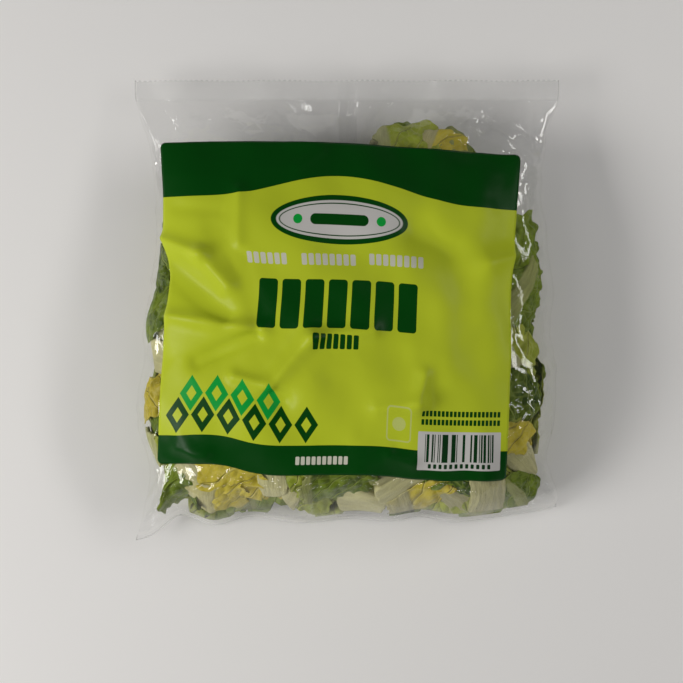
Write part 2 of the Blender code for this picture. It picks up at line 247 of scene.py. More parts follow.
@dataclass(frozen=True)
class BagForm:
    """The bag's form out to its film: the same named sizes as its solid has."""

    flat_half_width: float = 102.0
    top_edge: float = 110.9
    bottom_edge: float = -101.0
    seal_width: float = 10.0
    seal_half_thickness: float = 0.12
    solid_seal_half_thickness: float = 0.5
    bottom_seal_root: float = -98.2
    section_power: float = 2.2
    left_edge: Points = ((-101.0, -102.0), (-90.0, -98.5), (-72.0, -93.5), (-56.0, -97.5), (-38.0, -98.6),
                         (-20.0, -95.5), (-9.0, -97.0), (12.0, -92.5), (34.0, -90.0), (60.0, -91.5),
                         (84.0, -95.0), (100.9, -101.3), (110.9, -102.0))
    right_edge: Points = ((-101.0, 101.6), (-88.0, 99.0), (-72.0, 96.0), (-52.0, 98.6), (-30.0, 99.4),
                          (-8.0, 96.8), (16.0, 97.8), (38.0, 94.6), (62.0, 93.0), (84.0, 96.0),
                          (100.9, 101.3), (110.9, 102.0))
    seam_height: Points = ((-101.0, 2.6), (-98.2, 8.6), (-88.0, 17.5), (-70.0, 23.0), (0.0, 25.0),
                           (50.0, 22.0), (80.0, 17.5), (100.9, 14.5), (110.9, 12.5))
    bulge_above: Points = ((-98.2, 0.5), (-94.6, 11.5), (-88.0, 20.6), (-75.0, 27.0), (-50.0, 30.5),
                           (-25.0, 31.6), (0.0, 31.2), (25.0, 29.0), (50.0, 24.5), (70.0, 18.5),
                           (86.0, 10.5), (97.0, 2.6), (100.9, 0.5))
    bulge_below: Points = ((-98.2, 0.5), (-94.6, 10.0), (-88.0, 18.8), (-75.0, 26.0), (0.0, 28.5),
                           (50.0, 25.5), (76.0, 17.0), (91.0, 6.0), (100.9, 0.5))
    bottom_wave: Points = ((-102.0, -9.9), (-94.0, -7.4), (-82.0, 1.6), (-64.0, -2.8), (-48.0, 1.0),
                           (-22.0, -1.8), (6.0, 0.4), (22.0, -1.0), (34.0, 1.0), (52.0, -1.2),
                           (74.0, 1.0), (102.0, 6.0))
    wave_fades_at: float = -30.0
    flutter: float = 1.6
    flutter_length: float = 43.0
    flutter_start: float = 70.0
    bottom_flutter: float = 0.35
    ear_lift: float = 5.0
    ear_start: float = -78.0
    ear_rise: float = 80.0
    relief_band: Pair = (1.0, 16.0)
    slope_step: float = 0.25
    fill_level: float = 46.0
    heap_height: float = 34.0
    heap_middle: float = 28.0
    heap_spread: float = 36.0
    lump_count: int = 12
    lump_height: float = 0.62
    lump_longest: float = 52.0
    lump_shortest: float = 24.0
    lump_seed: int = 11
    lumps_left_under_label: float = 0.35
    label_corners: Points = ((-89.0, -72.2), (74.6, -79.8), (-88.6, 79.6), (82.0, 73.0))
    label_fade: float = 9.0
    label_folds: Folds = (
        ((-86.0, 33.5), (-68.0, 26.0), 5.0, 1.9), ((-68.0, 26.0), (-55.0, 11.0), 5.5, 1.7),
        ((-85.0, 21.0), (-56.0, -3.0), 6.0, -2.3), ((-82.0, -3.0), (-39.0, -9.6), 5.0, 1.7),
        ((-69.0, -24.0), (-42.0, -11.5), 5.0, -1.9), ((12.0, -9.5), (-16.0, -13.0), 5.0, 1.3),
        ((-16.0, -13.0), (-34.5, -35.0), 5.5, 1.6), ((-52.0, -31.0), (-37.0, -35.0), 4.5, 1.4),
        ((-34.0, -38.5), (-30.0, -42.0), 5.5, -1.8), ((36.0, -30.0), (33.0, -43.5), 5.0, 1.2),
        ((14.0, -45.5), (33.0, -43.5), 5.0, 1.0), ((66.0, 21.5), (80.0, 25.0), 7.0, 1.6),
        ((34.0, 37.0), (48.0, 28.0), 9.0, -1.8), ((-79.0, -64.0), (-66.0, -67.5), 5.0, 1.2),
        ((20.0, -67.0), (30.0, -70.5), 5.0, 0.9), ((-50.4, 56.0), (-50.4, 31.0), 4.5, 0.8))

    def bottom_pull(self, x: Array, along: Array) -> Array:
        """How far the wave of the bottom seal shifts a point, eased away towards the middle."""
        return through(self.bottom_wave, x) * ease(-along, -self.wave_fades_at, -self.bottom_edge)

    def along_bag(self, x: Array, y: Array) -> Array:
        """Distance along the bag of a point in plan: five rounds of taking the seal's wave out.

        Args:
            x: Places across, in plan.
            y: Places up the label, in plan.

        Returns:
            The distances along the bag.
        """
        along = np.array(y, dtype=float)
        for _ in range(5):
            along = y - self.bottom_pull(x, along)
        return along

    def fill_line(self, x: Array) -> Array:
        """How far up the bag the leaves reach: a level line with a bell-shaped heap on it."""
        return self.fill_level + self.heap_height * np.exp(-((x - self.heap_middle) / self.heap_spread) ** 2)

    def inner_height(self, along: Array) -> Array:
        """Height of the bag's inside at its highest line: both bulges together."""
        return through(self.bulge_above, along) + through(self.bulge_below, along)

    def lumps(self, x: Array, y: Array, shift: float) -> Array:
        """Lumps of the size of a chopped leaf: a scaled sum of plane waves."""
        return self.lump_height * plane_waves(x, y, self.lump_shortest, self.lump_longest,
                                              self.lump_count, self.lump_seed, shift)

    def label_insides(self, x: Array, y: Array, right_foot: float) -> list[Array]:
        """Distances inside the label's four edges in plan, the right one slanting up from a given foot.

        Args:
            x: Places across, in plan.
            y: Places up the label, in plan.
            right_foot: Height at which the right edge's slant starts.

        Returns:
            The distances from the left, right, top and bottom edges, above 0 inside each.
        """
        (left, low), (right_low, _), (_, high), (right_high, right_top) = self.label_corners
        rise = (right_top - high) / (right_high - left) * (x - left)
        right = np.interp(y, (right_foot, right_top), (right_low, right_high)) - x
        return [x - left, right, high + rise - y, y - low - rise]

    def inside_label(self, x: Array, y: Array) -> Array:
        """Distance from the nearest edge of the label's plan, above 0 inside it."""
        return np.minimum.reduce(self.label_insides(x, y, self.label_corners[0][1]))

    def under_label(self, x: Array, y: Array) -> Array:
        """Share from 0 off the label to 1 well inside it: the product of eased edge distances.

        Args:
            x: Places across, in plan.
            y: Places up the label, in plan.

        Returns:
            The shares.
        """
        share = np.ones(np.broadcast(x, y).shape)
        for inside in self.label_insides(x, y, self.label_corners[1][1]):
            share = share * ease(inside, -self.label_fade, self.label_fade)
        return share

    def fold_relief(self, x: Array, y: Array, narrow: float = 1.0, folds: Folds | None = None) -> Array:
        """Height of all the label's folds: bell curves of the distance from each fold's segment.

        Args:
            x: Places in plan.
            y: Places in plan.
            narrow: Share of each fold's half width to use.
            folds: Folds to use in place of the label's large ones.

        Returns:
            Heights in millimetres.
        """
        total = np.zeros(np.broadcast(x, y).shape)
        for (x0, y0), (x1, y1), half_width, height in folds or self.label_folds:
            run = np.hypot(x1 - x0, y1 - y0)
            t = np.clip(((x - x0) * (x1 - x0) + (y - y0) * (y1 - y0)) / run ** 2, 0.0, 1.0)
            away = np.hypot(x - x0 - t * (x1 - x0), y - y0 - t * (y1 - y0))
            total += height * np.exp(-(away / (half_width * narrow)) ** 2)
        return total

    def seam(self, x: Array, along: Array) -> Array:
        """Height of the widest line, with the sine flutter of both seals and the lifted ear.

        Args:
            x: Places across.
            along: Distances along the bag.

        Returns:
            The heights.
        """
        near_seal = ease(np.abs(along), self.flutter_start, self.top_edge)
        flutter = self.flutter * np.sin(2 * np.pi * x / self.flutter_length) * near_seal
        bottom = ease(-along, self.ear_rise, -self.bottom_edge)
        ear = self.ear_lift * ease(-x, -self.ear_start, self.flat_half_width) * bottom
        flutter = flutter * np.where(along > 0, 1.0, self.bottom_flutter)
        return through(self.seam_height, along) + flutter + ear

    def section(self, across: Array, along: Array, bulge: Points) -> Array:
        """Bulge at a place across the section: a quarter of a superellipse on each side.

        Args:
            across: Shares of the half width, from -1 at the left edge to 1 at the right.
            along: Distances along the bag.
            bulge: The bulge at the bag's middle, along the bag.

        Returns:
            The heights from the widest line.
        """
        dome = np.maximum(1.0 - np.abs(across) ** self.section_power, 0.0) ** (1.0 / self.section_power)
        rise = np.maximum(through(bulge, along) - self.solid_seal_half_thickness, 0.0)
        return rise * dome + self.seal_half_thickness * (across ** 2 < 1)

    def relief_share(self, across: Array, along: Array) -> Array:
        """Share of the relief that shows: none at the side edges and on the seals."""
        return (1.0 - np.abs(across) ** 4) * ease(through(self.bulge_above, along), *self.relief_band)

    def above(self, x: Array, along: Array, across: Array) -> Array:
        """Height of the upper film.

        Args:
            x: Places across.
            along: Distances along the bag.
            across: Shares of the half width, from -1 at the left edge to 1 at the right.

        Returns:
            The heights.
        """
        y = along + self.bottom_pull(x, along)
        covered = self.under_label(x, y)
        relief = self.lumps(x, y, 0.0) * (1 - covered * (1 - self.lumps_left_under_label))
        relief = (relief + self.fold_relief(x, y) * covered) * self.relief_share(across, along)
        return self.seam(x, along) + self.section(across, along, self.bulge_above) + relief

    def below(self, x: Array, along: Array, across: Array) -> Array:
        """Height of the lower film, pressed flat where it would pass the resting plane.

        Args:
            x: Places across.
            along: Distances along the bag.
            across: Shares of the half width, from -1 at the left edge to 1 at the right.

        Returns:
            The heights, none under 0.
        """
        y = along + self.bottom_pull(x, along)
        relief = self.lumps(x, y, 2.0) * self.relief_share(across, along)
        return np.maximum(self.seam(x, along) - self.section(across, along, self.bulge_below) - relief, 0.0)

    def edges(self, along: Array) -> tuple[Array, Array]:
        """Middle and half width of the bag at a distance along it."""
        left, right = through(self.left_edge, along), through(self.right_edge, along)
        return (left + right) / 2, (right - left) / 2

    def crown(self, x: Array, y: Array) -> Array:
        """Height of the smooth upper film over a point in plan.

        Args:
            x: Places across, in plan.
            y: Places up the label, in plan.

        Returns:
            The heights.
        """
        along = self.along_bag(x, y)
        middle, half = self.edges(along)
        return self.above(x, along, np.clip((x - middle) / half, -1.0, 1.0))

    def crown_normal(self, x: Array, y: Array) -> Array:
        """Upward unit normal of the smooth upper film, from its slopes over one step each way.

        Args:
            x: Places across, in plan.
            y: Places up the label, in plan.

        Returns:
            The normals.
        """
        step = self.slope_step
        slope_x = (self.crown(x + step, y) - self.crown(x - step, y)) / (2 * step)
        slope_y = (self.crown(x, y + step) - self.crown(x, y - step)) / (2 * step)
        normal = np.stack((-slope_x, -slope_y, np.ones_like(slope_x)), axis=-1)
        return normal / np.linalg.norm(normal, axis=-1, keepdims=True)


@dataclass
class Skin:
    """A table of the bag's smooth skin, read by distance along the bag and turn round it."""

    form: BagForm
    rows: int = 300
    half_columns: int = 120
    dense: int = 400
    along: Array = field(init=False)
    points: Array = field(init=False)
    normals: Array = field(init=False)
    girth: Array = field(init=False)

    def __post_init__(self) -> None:
        """Measure every ring of the skin at even steps of its own length."""
        form = self.form
        self.along = np.linspace(form.bottom_edge, form.top_edge, self.rows)
        angle = np.linspace(0.0, np.pi / 2, self.dense)
        from_middle = np.sin(angle) ** (2 / form.section_power)
        along = self.along[:, None]
        middle, half = form.edges(along)
        sides, girths = [], []
        for side in (-1.0, 1.0):
            across = np.concatenate((from_middle, from_middle[-2::-1])) * side
            x = middle + half * across
            upper = form.above(x, along, across)
            lower = form.below(x, along, across)
            z = np.concatenate((upper[:, :self.dense], lower[:, self.dense:]), axis=1)
            ring = np.stack((x, along + form.bottom_pull(x, along), z), axis=-1)
            steps = np.linalg.norm(np.diff(ring, axis=1), axis=-1)
            length = np.concatenate((np.zeros((self.rows, 1)), np.cumsum(steps, axis=1)), axis=1)
            girths.append(length[:, -1])
            sides.append(self.resample(ring, length))
        left, right = sides
        self.girth = np.stack(girths, axis=1)
        self.points = np.concatenate((left[:, ::-1], right[:, 1:]), axis=1)
        self.points[:, -1] = self.points[:, 0] = (self.points[:, 0] + self.points[:, -1]) / 2
        round_step = np.gradient(self.points, axis=1)
        along_step = np.gradient(self.points, axis=0)
        normal = np.cross(round_step, along_step)
        self.normals = normal / np.maximum(np.linalg.norm(normal, axis=-1, keepdims=True), 1e-9)

    def resample(self, ring: Array, length: Array) -> Array:
        """Points of each half ring at even steps of its length, by straight interpolation.

        Args:
            ring: Points of the half rings, one ring in each row.
            length: Their distances along each half ring.

        Returns:
            The points, as many in each row.
        """
        share = np.linspace(0.0, 1.0, self.half_columns + 1)
        made = np.empty((self.rows, self.half_columns + 1, 3))
        for row in range(self.rows):
            for axis in range(3):
                made[row, :, axis] = np.interp(share * length[row, -1], length[row], ring[row, :, axis])
        return made

    def read(self, table: Array, along: Array, turn: Array) -> Array:
        """Table values at places on the skin, by bilinear interpolation.

        Args:
            table: Values by row along the bag and column round it.
            along: Distances along the bag.
            turn: Turns round the bag.

        Returns:
            The values there.
        """
        share = (along - self.along[0]) / (self.along[-1] - self.along[0])
        u = np.clip(share * (self.rows - 1), 0, self.rows - 1.001)
        turn = (turn + 1.0) % 2.0
        v = np.clip(turn * self.half_columns, 0, 2 * self.half_columns - 0.001)
        i, j = u.astype(int), v.astype(int)
        a, b = (u - i)[..., None], (v - j)[..., None]
        near = table[i, j] * (1 - b) + table[i, j + 1] * b
        far = table[i + 1, j] * (1 - b) + table[i + 1, j + 1] * b
        return near * (1 - a) + far * a

    def half_girth(self, along: Array, turn: Array) -> Array:
        """Length of the half ring on the side that the turn is on.

        Args:
            along: Distances along the bag.
            turn: Turns round the bag.

        Returns:
            The lengths.
        """
        left = np.interp(along, self.along, self.girth[:, 0])
        right = np.interp(along, self.along, self.girth[:, 1])
        return np.where(turn < 0, left, right)

    def turn_at(self, x: Array, along: Array) -> Array:
        """Turn of a place on the upper film, from its distance across the bag.

        Args:
            x: Places across.
            along: Distances along the bag.

        Returns:
            The turns, from -0.5 to 0.5.
        """
        turns = np.linspace(-0.5, 0.5, 161)
        made = np.empty(len(x))
        for k, (place, station) in enumerate(zip(x, along)):
            across = self.read(self.points, np.full(turns.shape, station), turns)[:, 0]
            made[k] = np.interp(place, across, turns)
        return made


def ring_faces(rows: int, columns: int) -> list[Faces]:
    """Faces of a tube of rings, closed at both ends by folding each end ring shut along its sides.

    Columns run once round from the middle of the back, so the column that lies under column j is
    half the count less j, counted round.

    Args:
        rows: Number of rings.
        columns: Points in each ring, a multiple of four.

    Returns:
        Blocks of quads and triangles.
    """
    index = np.arange(rows * columns).reshape(rows, columns)
    after = np.roll(index, -1, axis=1)
    wall = np.stack([part.ravel() for part in (index[:-1], after[:-1], after[1:], index[1:])], axis=1)
    upper = np.arange(columns // 4, 3 * columns // 4)
    lower = (columns // 2 - upper) % columns
    lower_next = (columns // 2 - upper - 1) % columns
    last = (rows - 1) * columns
    near = np.stack((upper, lower, lower_next, upper + 1), axis=1)
    far = np.stack((upper, upper + 1, lower_next, lower), axis=1) + last
    triangles = np.array([near[0, [0, 2, 3]], near[-1, [0, 1, 2]], far[0, [0, 1, 2]], far[-1, [0, 2, 3]]])
    return [wall, near[1:-1], far[1:-1], triangles]


@dataclass
class Film:
    """The clear film: the bag's skin with its facets, pleats, puckers and creases."""

    form: BagForm
    skin: Skin
    rows: int = 252
    columns: int = 328
    floor_gap: float = 0.14
    under_label: float = 0.35
    tooth: float = 0.9
    crumple: Layers = ((0.75, 21.0, 1.0, 0.0, 3), (0.42, 10.5, 0.8, 0.6, 5), (0.17, 5.2, 0.6, -0.8, 7))
    pleat_height: float = 1.1
    pleat_size: float = 8.5
    bottom_pleat_reach: float = 13.0
    top_pleat_reach: float = 24.0
    pucker_height: float = 0.8
    pucker_size: float = 9.5
    pucker_reach: float = 13.0
    seal_relief: float = 0.12
    crease_count: int = 130
    crease_seed: int = 17
    crease_field: tuple[Pair, Pair] = ((-225.0, 225.0), (-95.0, 98.0))
    crease_lean: float = 0.7
    upright_share: float = 0.6
    crease_run: Pair = (10.0, 34.0)
    crease_half_width: Pair = (0.7, 1.2)
    crease_heights: Pair = (-0.5, 0.7)
    crease_strength: Pair = (0.5, 1.2)
    sharp_bend: float = 0.16
    top_seal_blur: float = 0.6
    foot_marks: tuple[Triple, ...] = ((0.4, 98.4, 99.4), (1.2, 100.0, 101.0))

    def relief(self, along: Array, turn: Array, place: Array, normal: Array) -> Array:
        """Height of the fine film relief along the skin's normal.

        It adds three sizes of flat facets, pleats that run out of both seals, puckers across the
        side folds and thin straight creases. Under the label it is flat, a little below the label's
        back, and sinks with the label's dents.

        Args:
            along: Distances along the bag.
            turn: Turns round the bag.
            place: Points of the smooth skin.
            normal: Normals of the smooth skin.

        Returns:
            Heights in millimetres.
        """
        form = self.form
        s = turn * self.skin.half_girth(along, turn)
        u, v = sway(s, along, 3.0, (28.0, 60.0), 6, 31)
        bottom = np.exp(-np.maximum(along - form.bottom_seal_root, 0.0) / self.bottom_pleat_reach)
        top = np.exp(-np.maximum(form.top_edge - form.seal_width - along, 0.0) / self.top_pleat_reach)
        pleats = self.pleat_height * facets(u, v * 0.2, self.pleat_size, 9) * (bottom + top)
        from_side = (np.abs(turn) - 0.5) * self.skin.half_girth(along, turn)
        puckers = self.pucker_height * facets(u * 0.3, v, self.pucker_size, 13)
        puckers = puckers * np.exp(-(from_side / self.pucker_reach) ** 2)
        total = facet_layers(u, v, self.crumple) + pleats + puckers + self.creases(s, along)
        seals = ease(through(form.bulge_above, along), 0.5, 7.0)
        lying = ease(place[..., 2], 0.3, 5.0) + (normal[..., 2] > 0)
        x, y = place[..., 0], place[..., 1]
        covered = ease(form.inside_label(x, y), -2.5, 1.0) * (normal[..., 2] > 0)
        total = total * (self.seal_relief + (1 - self.seal_relief) * seals)
        total = total * np.minimum(lying, 1.0) * (1 - covered)
        dents = np.maximum(-Label(form).wrinkles(x, y), 0.0)
        return total - (self.under_label + dents) * covered

    def creases(self, s: Array, along: Array) -> Array:
        """Thin ridges and grooves: bell curves of the distance from seeded straight segments.

        Args:
            s: Distances round the bag from the middle of its front.
            along: Distances along the bag.

        Returns:
            Heights in millimetres.
        """
        random = np.random.default_rng(self.crease_seed)
        total = np.zeros(s.shape)
        for _ in range(self.crease_count):
            x0, y0 = (random.uniform(*limits) for limits in self.crease_field)
            lean = random.normal(0.0, self.crease_lean)
            angle = lean + (np.pi / 2 if random.random() < self.upright_share else 0.0)
            run, half_width = random.uniform(*self.crease_run), random.uniform(*self.crease_half_width)
            height = random.choice(self.crease_heights) * random.uniform(*self.crease_strength)
            t = np.clip((s - x0) * np.cos(angle) + (along - y0) * np.sin(angle), 0.0, run)
            away = np.hypot(s - x0 - t * np.cos(angle), along - y0 - t * np.sin(angle))
            total += height * np.sin(np.pi * (t / run)) * np.exp(-(away / half_width) ** 2)
        return total

    def build(self) -> Piece:
        """Make the film's mesh: smooth skin plus relief along its normals.

        Returns:
            The film piece, with the attributes seal, crease and loose.
        """
        form = self.form
        along = np.linspace(form.bottom_edge, form.top_edge, self.rows)[:, None]
        turn = np.linspace(-1.0, 1.0, self.columns + 1)[None, :-1]
        along, turn = np.broadcast_arrays(along, turn)
        place = self.skin.read(self.skin.points, along, turn)
        normal = self.skin.read(self.skin.normals, along, turn)
        relief = self.relief(along, turn, place, normal)
        points = place + normal * relief[..., None]
        points[..., 2] = np.maximum(points[..., 2], self.floor_gap)
        points[-1, 1::2, 1] -= self.tooth
        bend = np.abs(relief - (np.roll(relief, 1, 1) + np.roll(relief, -1, 1)) / 2)
        bend[1:-1] += np.abs(relief[1:-1] - (relief[2:] + relief[:-2]) / 2)
        crease = np.clip(bend / self.sharp_bend, 0.0, 1.0)
        top_root = form.top_edge - form.seal_width
        seal = ease(along, top_root - self.top_seal_blur, top_root + self.top_seal_blur)
        for share, start, end in self.foot_marks:
            seal = seal + share * ease(-along, start, end)
        half_girth = self.skin.half_girth(along, turn)
        from_side = np.abs((np.abs(turn) - 0.5) * half_girth)
        beside = ease(from_side + np.where(turn < 0, 8.0, 0.0), 4.0, 12.0)
        held = beside * ease(form.fill_line(place[..., 0]) - along, -6.0, 6.0) * ease(along, -98.4, -96.0)
        attributes = {"seal": seal.ravel(), "crease": crease.ravel(), "loose": 1 - held.ravel()}
        uv = np.stack((turn * half_girth, along), axis=-1) / UV_MM
        return make_piece("film", points, ring_faces(self.rows, self.columns), uv, attributes)


@dataclass
class BackSeam:
    """The lengthwise seam of the film: a flat strip of two welded layers, folded over on the back."""

    form: BagForm
    skin: Skin
    half_width: float = 4.5
    end_gap: float = 1.0
    rows: int = 190
    columns: int = 9
    near: float = 0.16
    far: float = 0.28
    lowest: float = 0.02
    gap: float = 0.08
    milkiness: float = 0.25

    def build(self) -> Piece:
        """Make the strip: the skin at the middle of the back, set off along its normal.

        Returns:
            The seam piece, with the attributes seal, crease and loose.
        """
        ends = self.form.bottom_edge + self.end_gap, self.form.top_edge - self.end_gap
        along = np.linspace(*ends, self.rows)[:, None]
        offset = np.linspace(-self.half_width, self.half_width, self.columns)[None]
        along, offset = np.broadcast_arrays(along, offset)
        turn = 1.0 + offset / self.skin.half_girth(along, np.ones_like(along))
        place = self.skin.read(self.skin.points, along, turn)
        normal = self.skin.read(self.skin.normals, along, turn)
        outer, inner = place + normal * self.far, place + normal * self.near
        outer[..., 2] = np.maximum(outer[..., 2], self.lowest)
        inner[..., 2] = np.maximum(inner[..., 2], self.lowest + self.gap)
        flat = np.zeros(2 * along.size)
        attributes = {"seal": flat + self.milkiness, "crease": flat, "loose": flat}
        return make_slab("back_seam", outer, inner, np.stack((offset, along), axis=-1) / UV_MM, attributes)


@dataclass
class Label:
    """The stuck-on label: a thin sheet over the film's crown, with its folds and soft facets."""

    form: BagForm
    facet_pattern: Layers = ((0.42, 19.0, 1.0, 0.0, 43), (0.09, 8.0, 0.8, 0.6, 44))
    ripple_height: float = 0.50
    crests: Points = ((0.36, 0.28), (0.85, 0.7))
    deepest: float = 0.9
    dent_softness: float = 0.2
    left_bow: Points = ((-72.2, 0.0), (-50.0, 1.4), (-10.0, 3.8), (17.0, 5.6), (32.0, 3.0), (55.0, 2.2),
                        (79.6, 0.0))
    right_bow: Points = ((-79.8, 0.0), (-43.0, -1.0), (-14.0, -1.6), (12.0, -2.5), (35.0, -1.8), (73.0, 0.0))
    top_bow: Points = ((-88.6, 0.0), (-50.0, 1.5), (-8.0, 2.4), (22.0, 1.6), (44.0, 0.9), (82.0, 0.0))
    bottom_bow: Points = ((-89.0, 0.0), (-56.0, 1.3), (-44.0, -1.2), (-4.0, -0.5), (14.0, 0.0), (34.0, -1.0),
                          (74.6, 0.0))
    width: float = 170.6
    height: float = 151.8
    corner: float = 2.6
    columns: int = 160
    rows: int = 146
    lift: float = 0.35
    thickness: float = 0.14
    creases: Folds = (
        ((-79.0, 48.0), (-60.0, 46.0), 3.4, -0.7), ((-63.0, 38.5), (-50.0, 23.0), 4.6, -1.1),
        ((-50.0, 23.0), (-41.0, -1.0), 4.6, -1.0), ((-23.0, 67.0), (-12.0, 75.0), 3.0, 0.6),
        ((-78.0, -58.0), (-70.0, -68.0), 3.2, 0.8), ((8.0, -58.0), (22.0, -62.0), 4.0, -0.7),
        ((18.0, 8.0), (60.0, 2.0), 7.0, 0.7), ((-6.0, -30.0), (24.0, -22.0), 6.0, -0.8),
        ((44.0, 52.0), (70.0, 44.0), 6.0, 0.7), ((40.0, -20.0), (66.0, -8.0), 6.0, -0.8),
        ((-10.0, 22.0), (14.0, 30.0), 6.0, -0.6))

    def plan(self, u: Array, v: Array) -> Array:
        """Plan point at shares u across and v up: blended corners plus the bow of the four edges.

        Args:
            u: Shares across.
            v: Shares up.

        Returns:
            The points in plan.
        """
        corners = [np.array(corner) for corner in self.form.label_corners]
        share_u, share_v = u[..., None], v[..., None]
        low = corners[0] * (1 - share_u) + corners[1] * share_u
        high = corners[2] * (1 - share_u) + corners[3] * share_u
        plan = low * (1 - share_v) + high * share_v
        x, y = plan[..., 0], plan[..., 1]
        shift_x = through(self.left_bow, y) * (1 - u) + through(self.right_bow, y) * u
        shift_y = through(self.bottom_bow, x) * (1 - v) + through(self.top_bow, x) * v
        return np.stack((x + shift_x, y + shift_y), axis=-1)

    def round_corners(self, u: Array, v: Array) -> tuple[Array, Array]:
        """Pull the grid into rounded corners: each corner square is mapped onto a quarter disc.

        Args:
            u: Shares across of an even grid.
            v: Shares up of an even grid.

        Returns:
            The shares across and up, drawn in at the four corners.
        """
        reach_u, reach_v = self.corner / self.width, self.corner / self.height
        a = np.maximum(np.abs(u - 0.5) - (0.5 - reach_u), 0.0) / reach_u
        b = np.maximum(np.abs(v - 0.5) - (0.5 - reach_v), 0.0) / reach_v
        shrink_a, shrink_b = a * (1 - np.sqrt(1 - b ** 2 / 2)), b * (1 - np.sqrt(1 - a ** 2 / 2))
        return u - np.sign(u - 0.5) * shrink_a * reach_u, v - np.sign(v - 0.5) * shrink_b * reach_v

    def wrinkles(self, x: Array, y: Array) -> Array:
        """Fine label relief: soft facets, upright ripples, crests on each fold and fine creases.

        Its dents end softly at the deepest one: it is the softened larger of the sum and that depth.

        Args:
            x: Places in plan.
            y: Places in plan.

        Returns:
            Heights in millimetres.
        """
        u, v = sway(x, y, 2.5, (30.0, 60.0), 5, 41)
        ripples = self.ripple_height * waves(x, y * 0.35, 10.0, 20.0, 6, 45) * ease(x, 10.0, 50.0)
        crests = sum(share * self.form.fold_relief(x, y, narrow) for share, narrow in self.crests)
        total = facet_layers(u, v, self.facet_pattern) + ripples + crests
        total = total + self.form.fold_relief(x, y, 1.0, self.creases)
        above = np.log1p(np.exp((total + self.deepest) / self.dent_softness))
        return self.dent_softness * above - self.deepest

    def build(self) -> Piece:
        """Make the label's closed skin: crown plus lift plus wrinkles along the crown's normal.

        Returns:
            The label piece, whose UV runs from 0 to 1 across and up the printed face.
        """
        flat_u, flat_v = np.meshgrid(np.linspace(0, 1, self.columns), np.linspace(0, 1, self.rows))
        u, v = self.round_corners(flat_u, flat_v)
        plan = self.plan(u, v)
        x, y = plan[..., 0], plan[..., 1]
        base = np.stack((x, y, self.form.crown(x, y)), axis=-1)
        normal = self.form.crown_normal(x, y)
        rise = (self.lift + self.wrinkles(x, y))[..., None]
        upper, lower = base + normal * (rise + self.thickness), base + normal * rise
        return make_slab("label_sheet", upper, lower, np.stack((u, v), axis=-1))


@dataclass(frozen=True)
class Leaf:
    """One chopped piece: where it lies on the skin, its cut and the part of a leaf it is cut from."""

    kind: Kind
    along: float
    turn: float
    width: float
    length: float
    spin: float
    depth: float
    from_rib: float
    up_leaf: float
    ruffle: float
    tone: float


# The pieces that the photograph shows: x, y, width, length, spin, depth under the film, distance from
# the leaf's rib, distance up the leaf, ruffle and tone.
SHOWN_LEAVES: dict[Kind, tuple[tuple[float, ...], ...]] = {
    Kind.GREEN: (
        (-90, 31, 24, 20, 20, 0.5, 24, 110, 1.0, 0.0), (-91, 19, 26, 22, -15, -1, 24, 110, 1.6, -0.1),
        (-94, 0, 28, 26, 30, -1, 24, 120, 1.2, 0.25), (-93, -55, 26, 20, 60, 4.6, 24, 110, 0, 0.1),
        (86, 32, 30, 24, 25, 2, 20, 110, 1.6, 0.75), (87, 9, 34, 34, -35, 3.2, 3, 135, 1.2, 0.62),
        (83, -41, 26, 30, 70, 2, 26, 120, 2.4, 0.03), (-82, -84.5, 17, 21, -8, 2.6, 14, 110, 0.7, 0.5),
        (-4, -83.5, 43, 19, 4, 2, 18, 115, 0.9, 0.3), (43, -81.5, 24, 13, 30, 3.6, 20, 110, 0.8, 0.7),
        (56.5, -84, 15, 14, 30, 2.6, 22, 120, 0.8, -0.2), (85, -85.5, 22, 18, 40, 3.2, 5, 185, 0.8, 0.45)),
    Kind.LIGHT: (
        (-87, -12, 20, 18, 40, 6, 8, 80, 0.8, 0.2), (-93, -67, 24, 16, -20, 2.6, 6, 70, 0.6, 0.6),
        (81, -15, 26, 26, 15, 4.4, 10, 80, 1.0, 0.7), (-21, -83, 15, 20, 20, 3.4, 14, 100, 0.8, 0.3),
        (-16, -94.5, 21, 11, -6, 3.8, 16, 100, 0.9, 0.35), (30, 80, 36, 22, 5, 1.8, 16, 100, 1.0, 0.6)),
    Kind.HEART: (
        (-95, -41, 24, 22, 10, 0.5, 24, 110, 1.8, -0.6), (82, -61, 24, 16, 0, 3, 14, 90, 1.4, 0.5),
        (-60, -81, 41, 19, -18, 1.6, 34, 100, 1.9, 0.4), (-61, -91.5, 29, 14, -5, 2.6, 10, 70, 0.9, 0.9),
        (34, -90.5, 29, 14, 22, 1.5, 10, 100, 2.0, 0.3), (46, 77, 26, 20, -20, 4, 12, 100, 1.4, 0.6)),
    Kind.RIB: (
        (-93, -20, 13, 20, 70, 4, 0, 60, 0, 0.7), (87, -72, 16, 24, 50, 5.6, 0, 60, 0, 0.5),
        (-74, -78, 13, 22, 65, 5, 0, 60, 0, 0.9), (-35, -84, 15, 15, 10, 4, 0, 40, 0, 1.2),
        (-27.5, -91.5, 10, 9, -30, 5.6, 0, 55, 0, 0.3), (6, -93.5, 9, 26, 84, 5, 0, 45, 0, 1.4),
        (27, -84.5, 9.5, 26, -60, 3.4, 0, 60, 0, 1.3), (50, -92, 11, 19, 62, 7.5, 0, 60, 0, 0.1),
        (68.5, -88, 20, 20, 8, 3.2, 0, 22, 0, 0.45)),
}

# The seeded pieces behind them: the share of each kind, and its smallest and largest side.
FILL_LEAVES = {Kind.GREEN: (0.50, 24.0, 42.0), Kind.LIGHT: (0.29, 22.0, 38.0),
               Kind.HEART: (0.12, 18.0, 30.0), Kind.RIB: (0.09, 14.0, 24.0)}


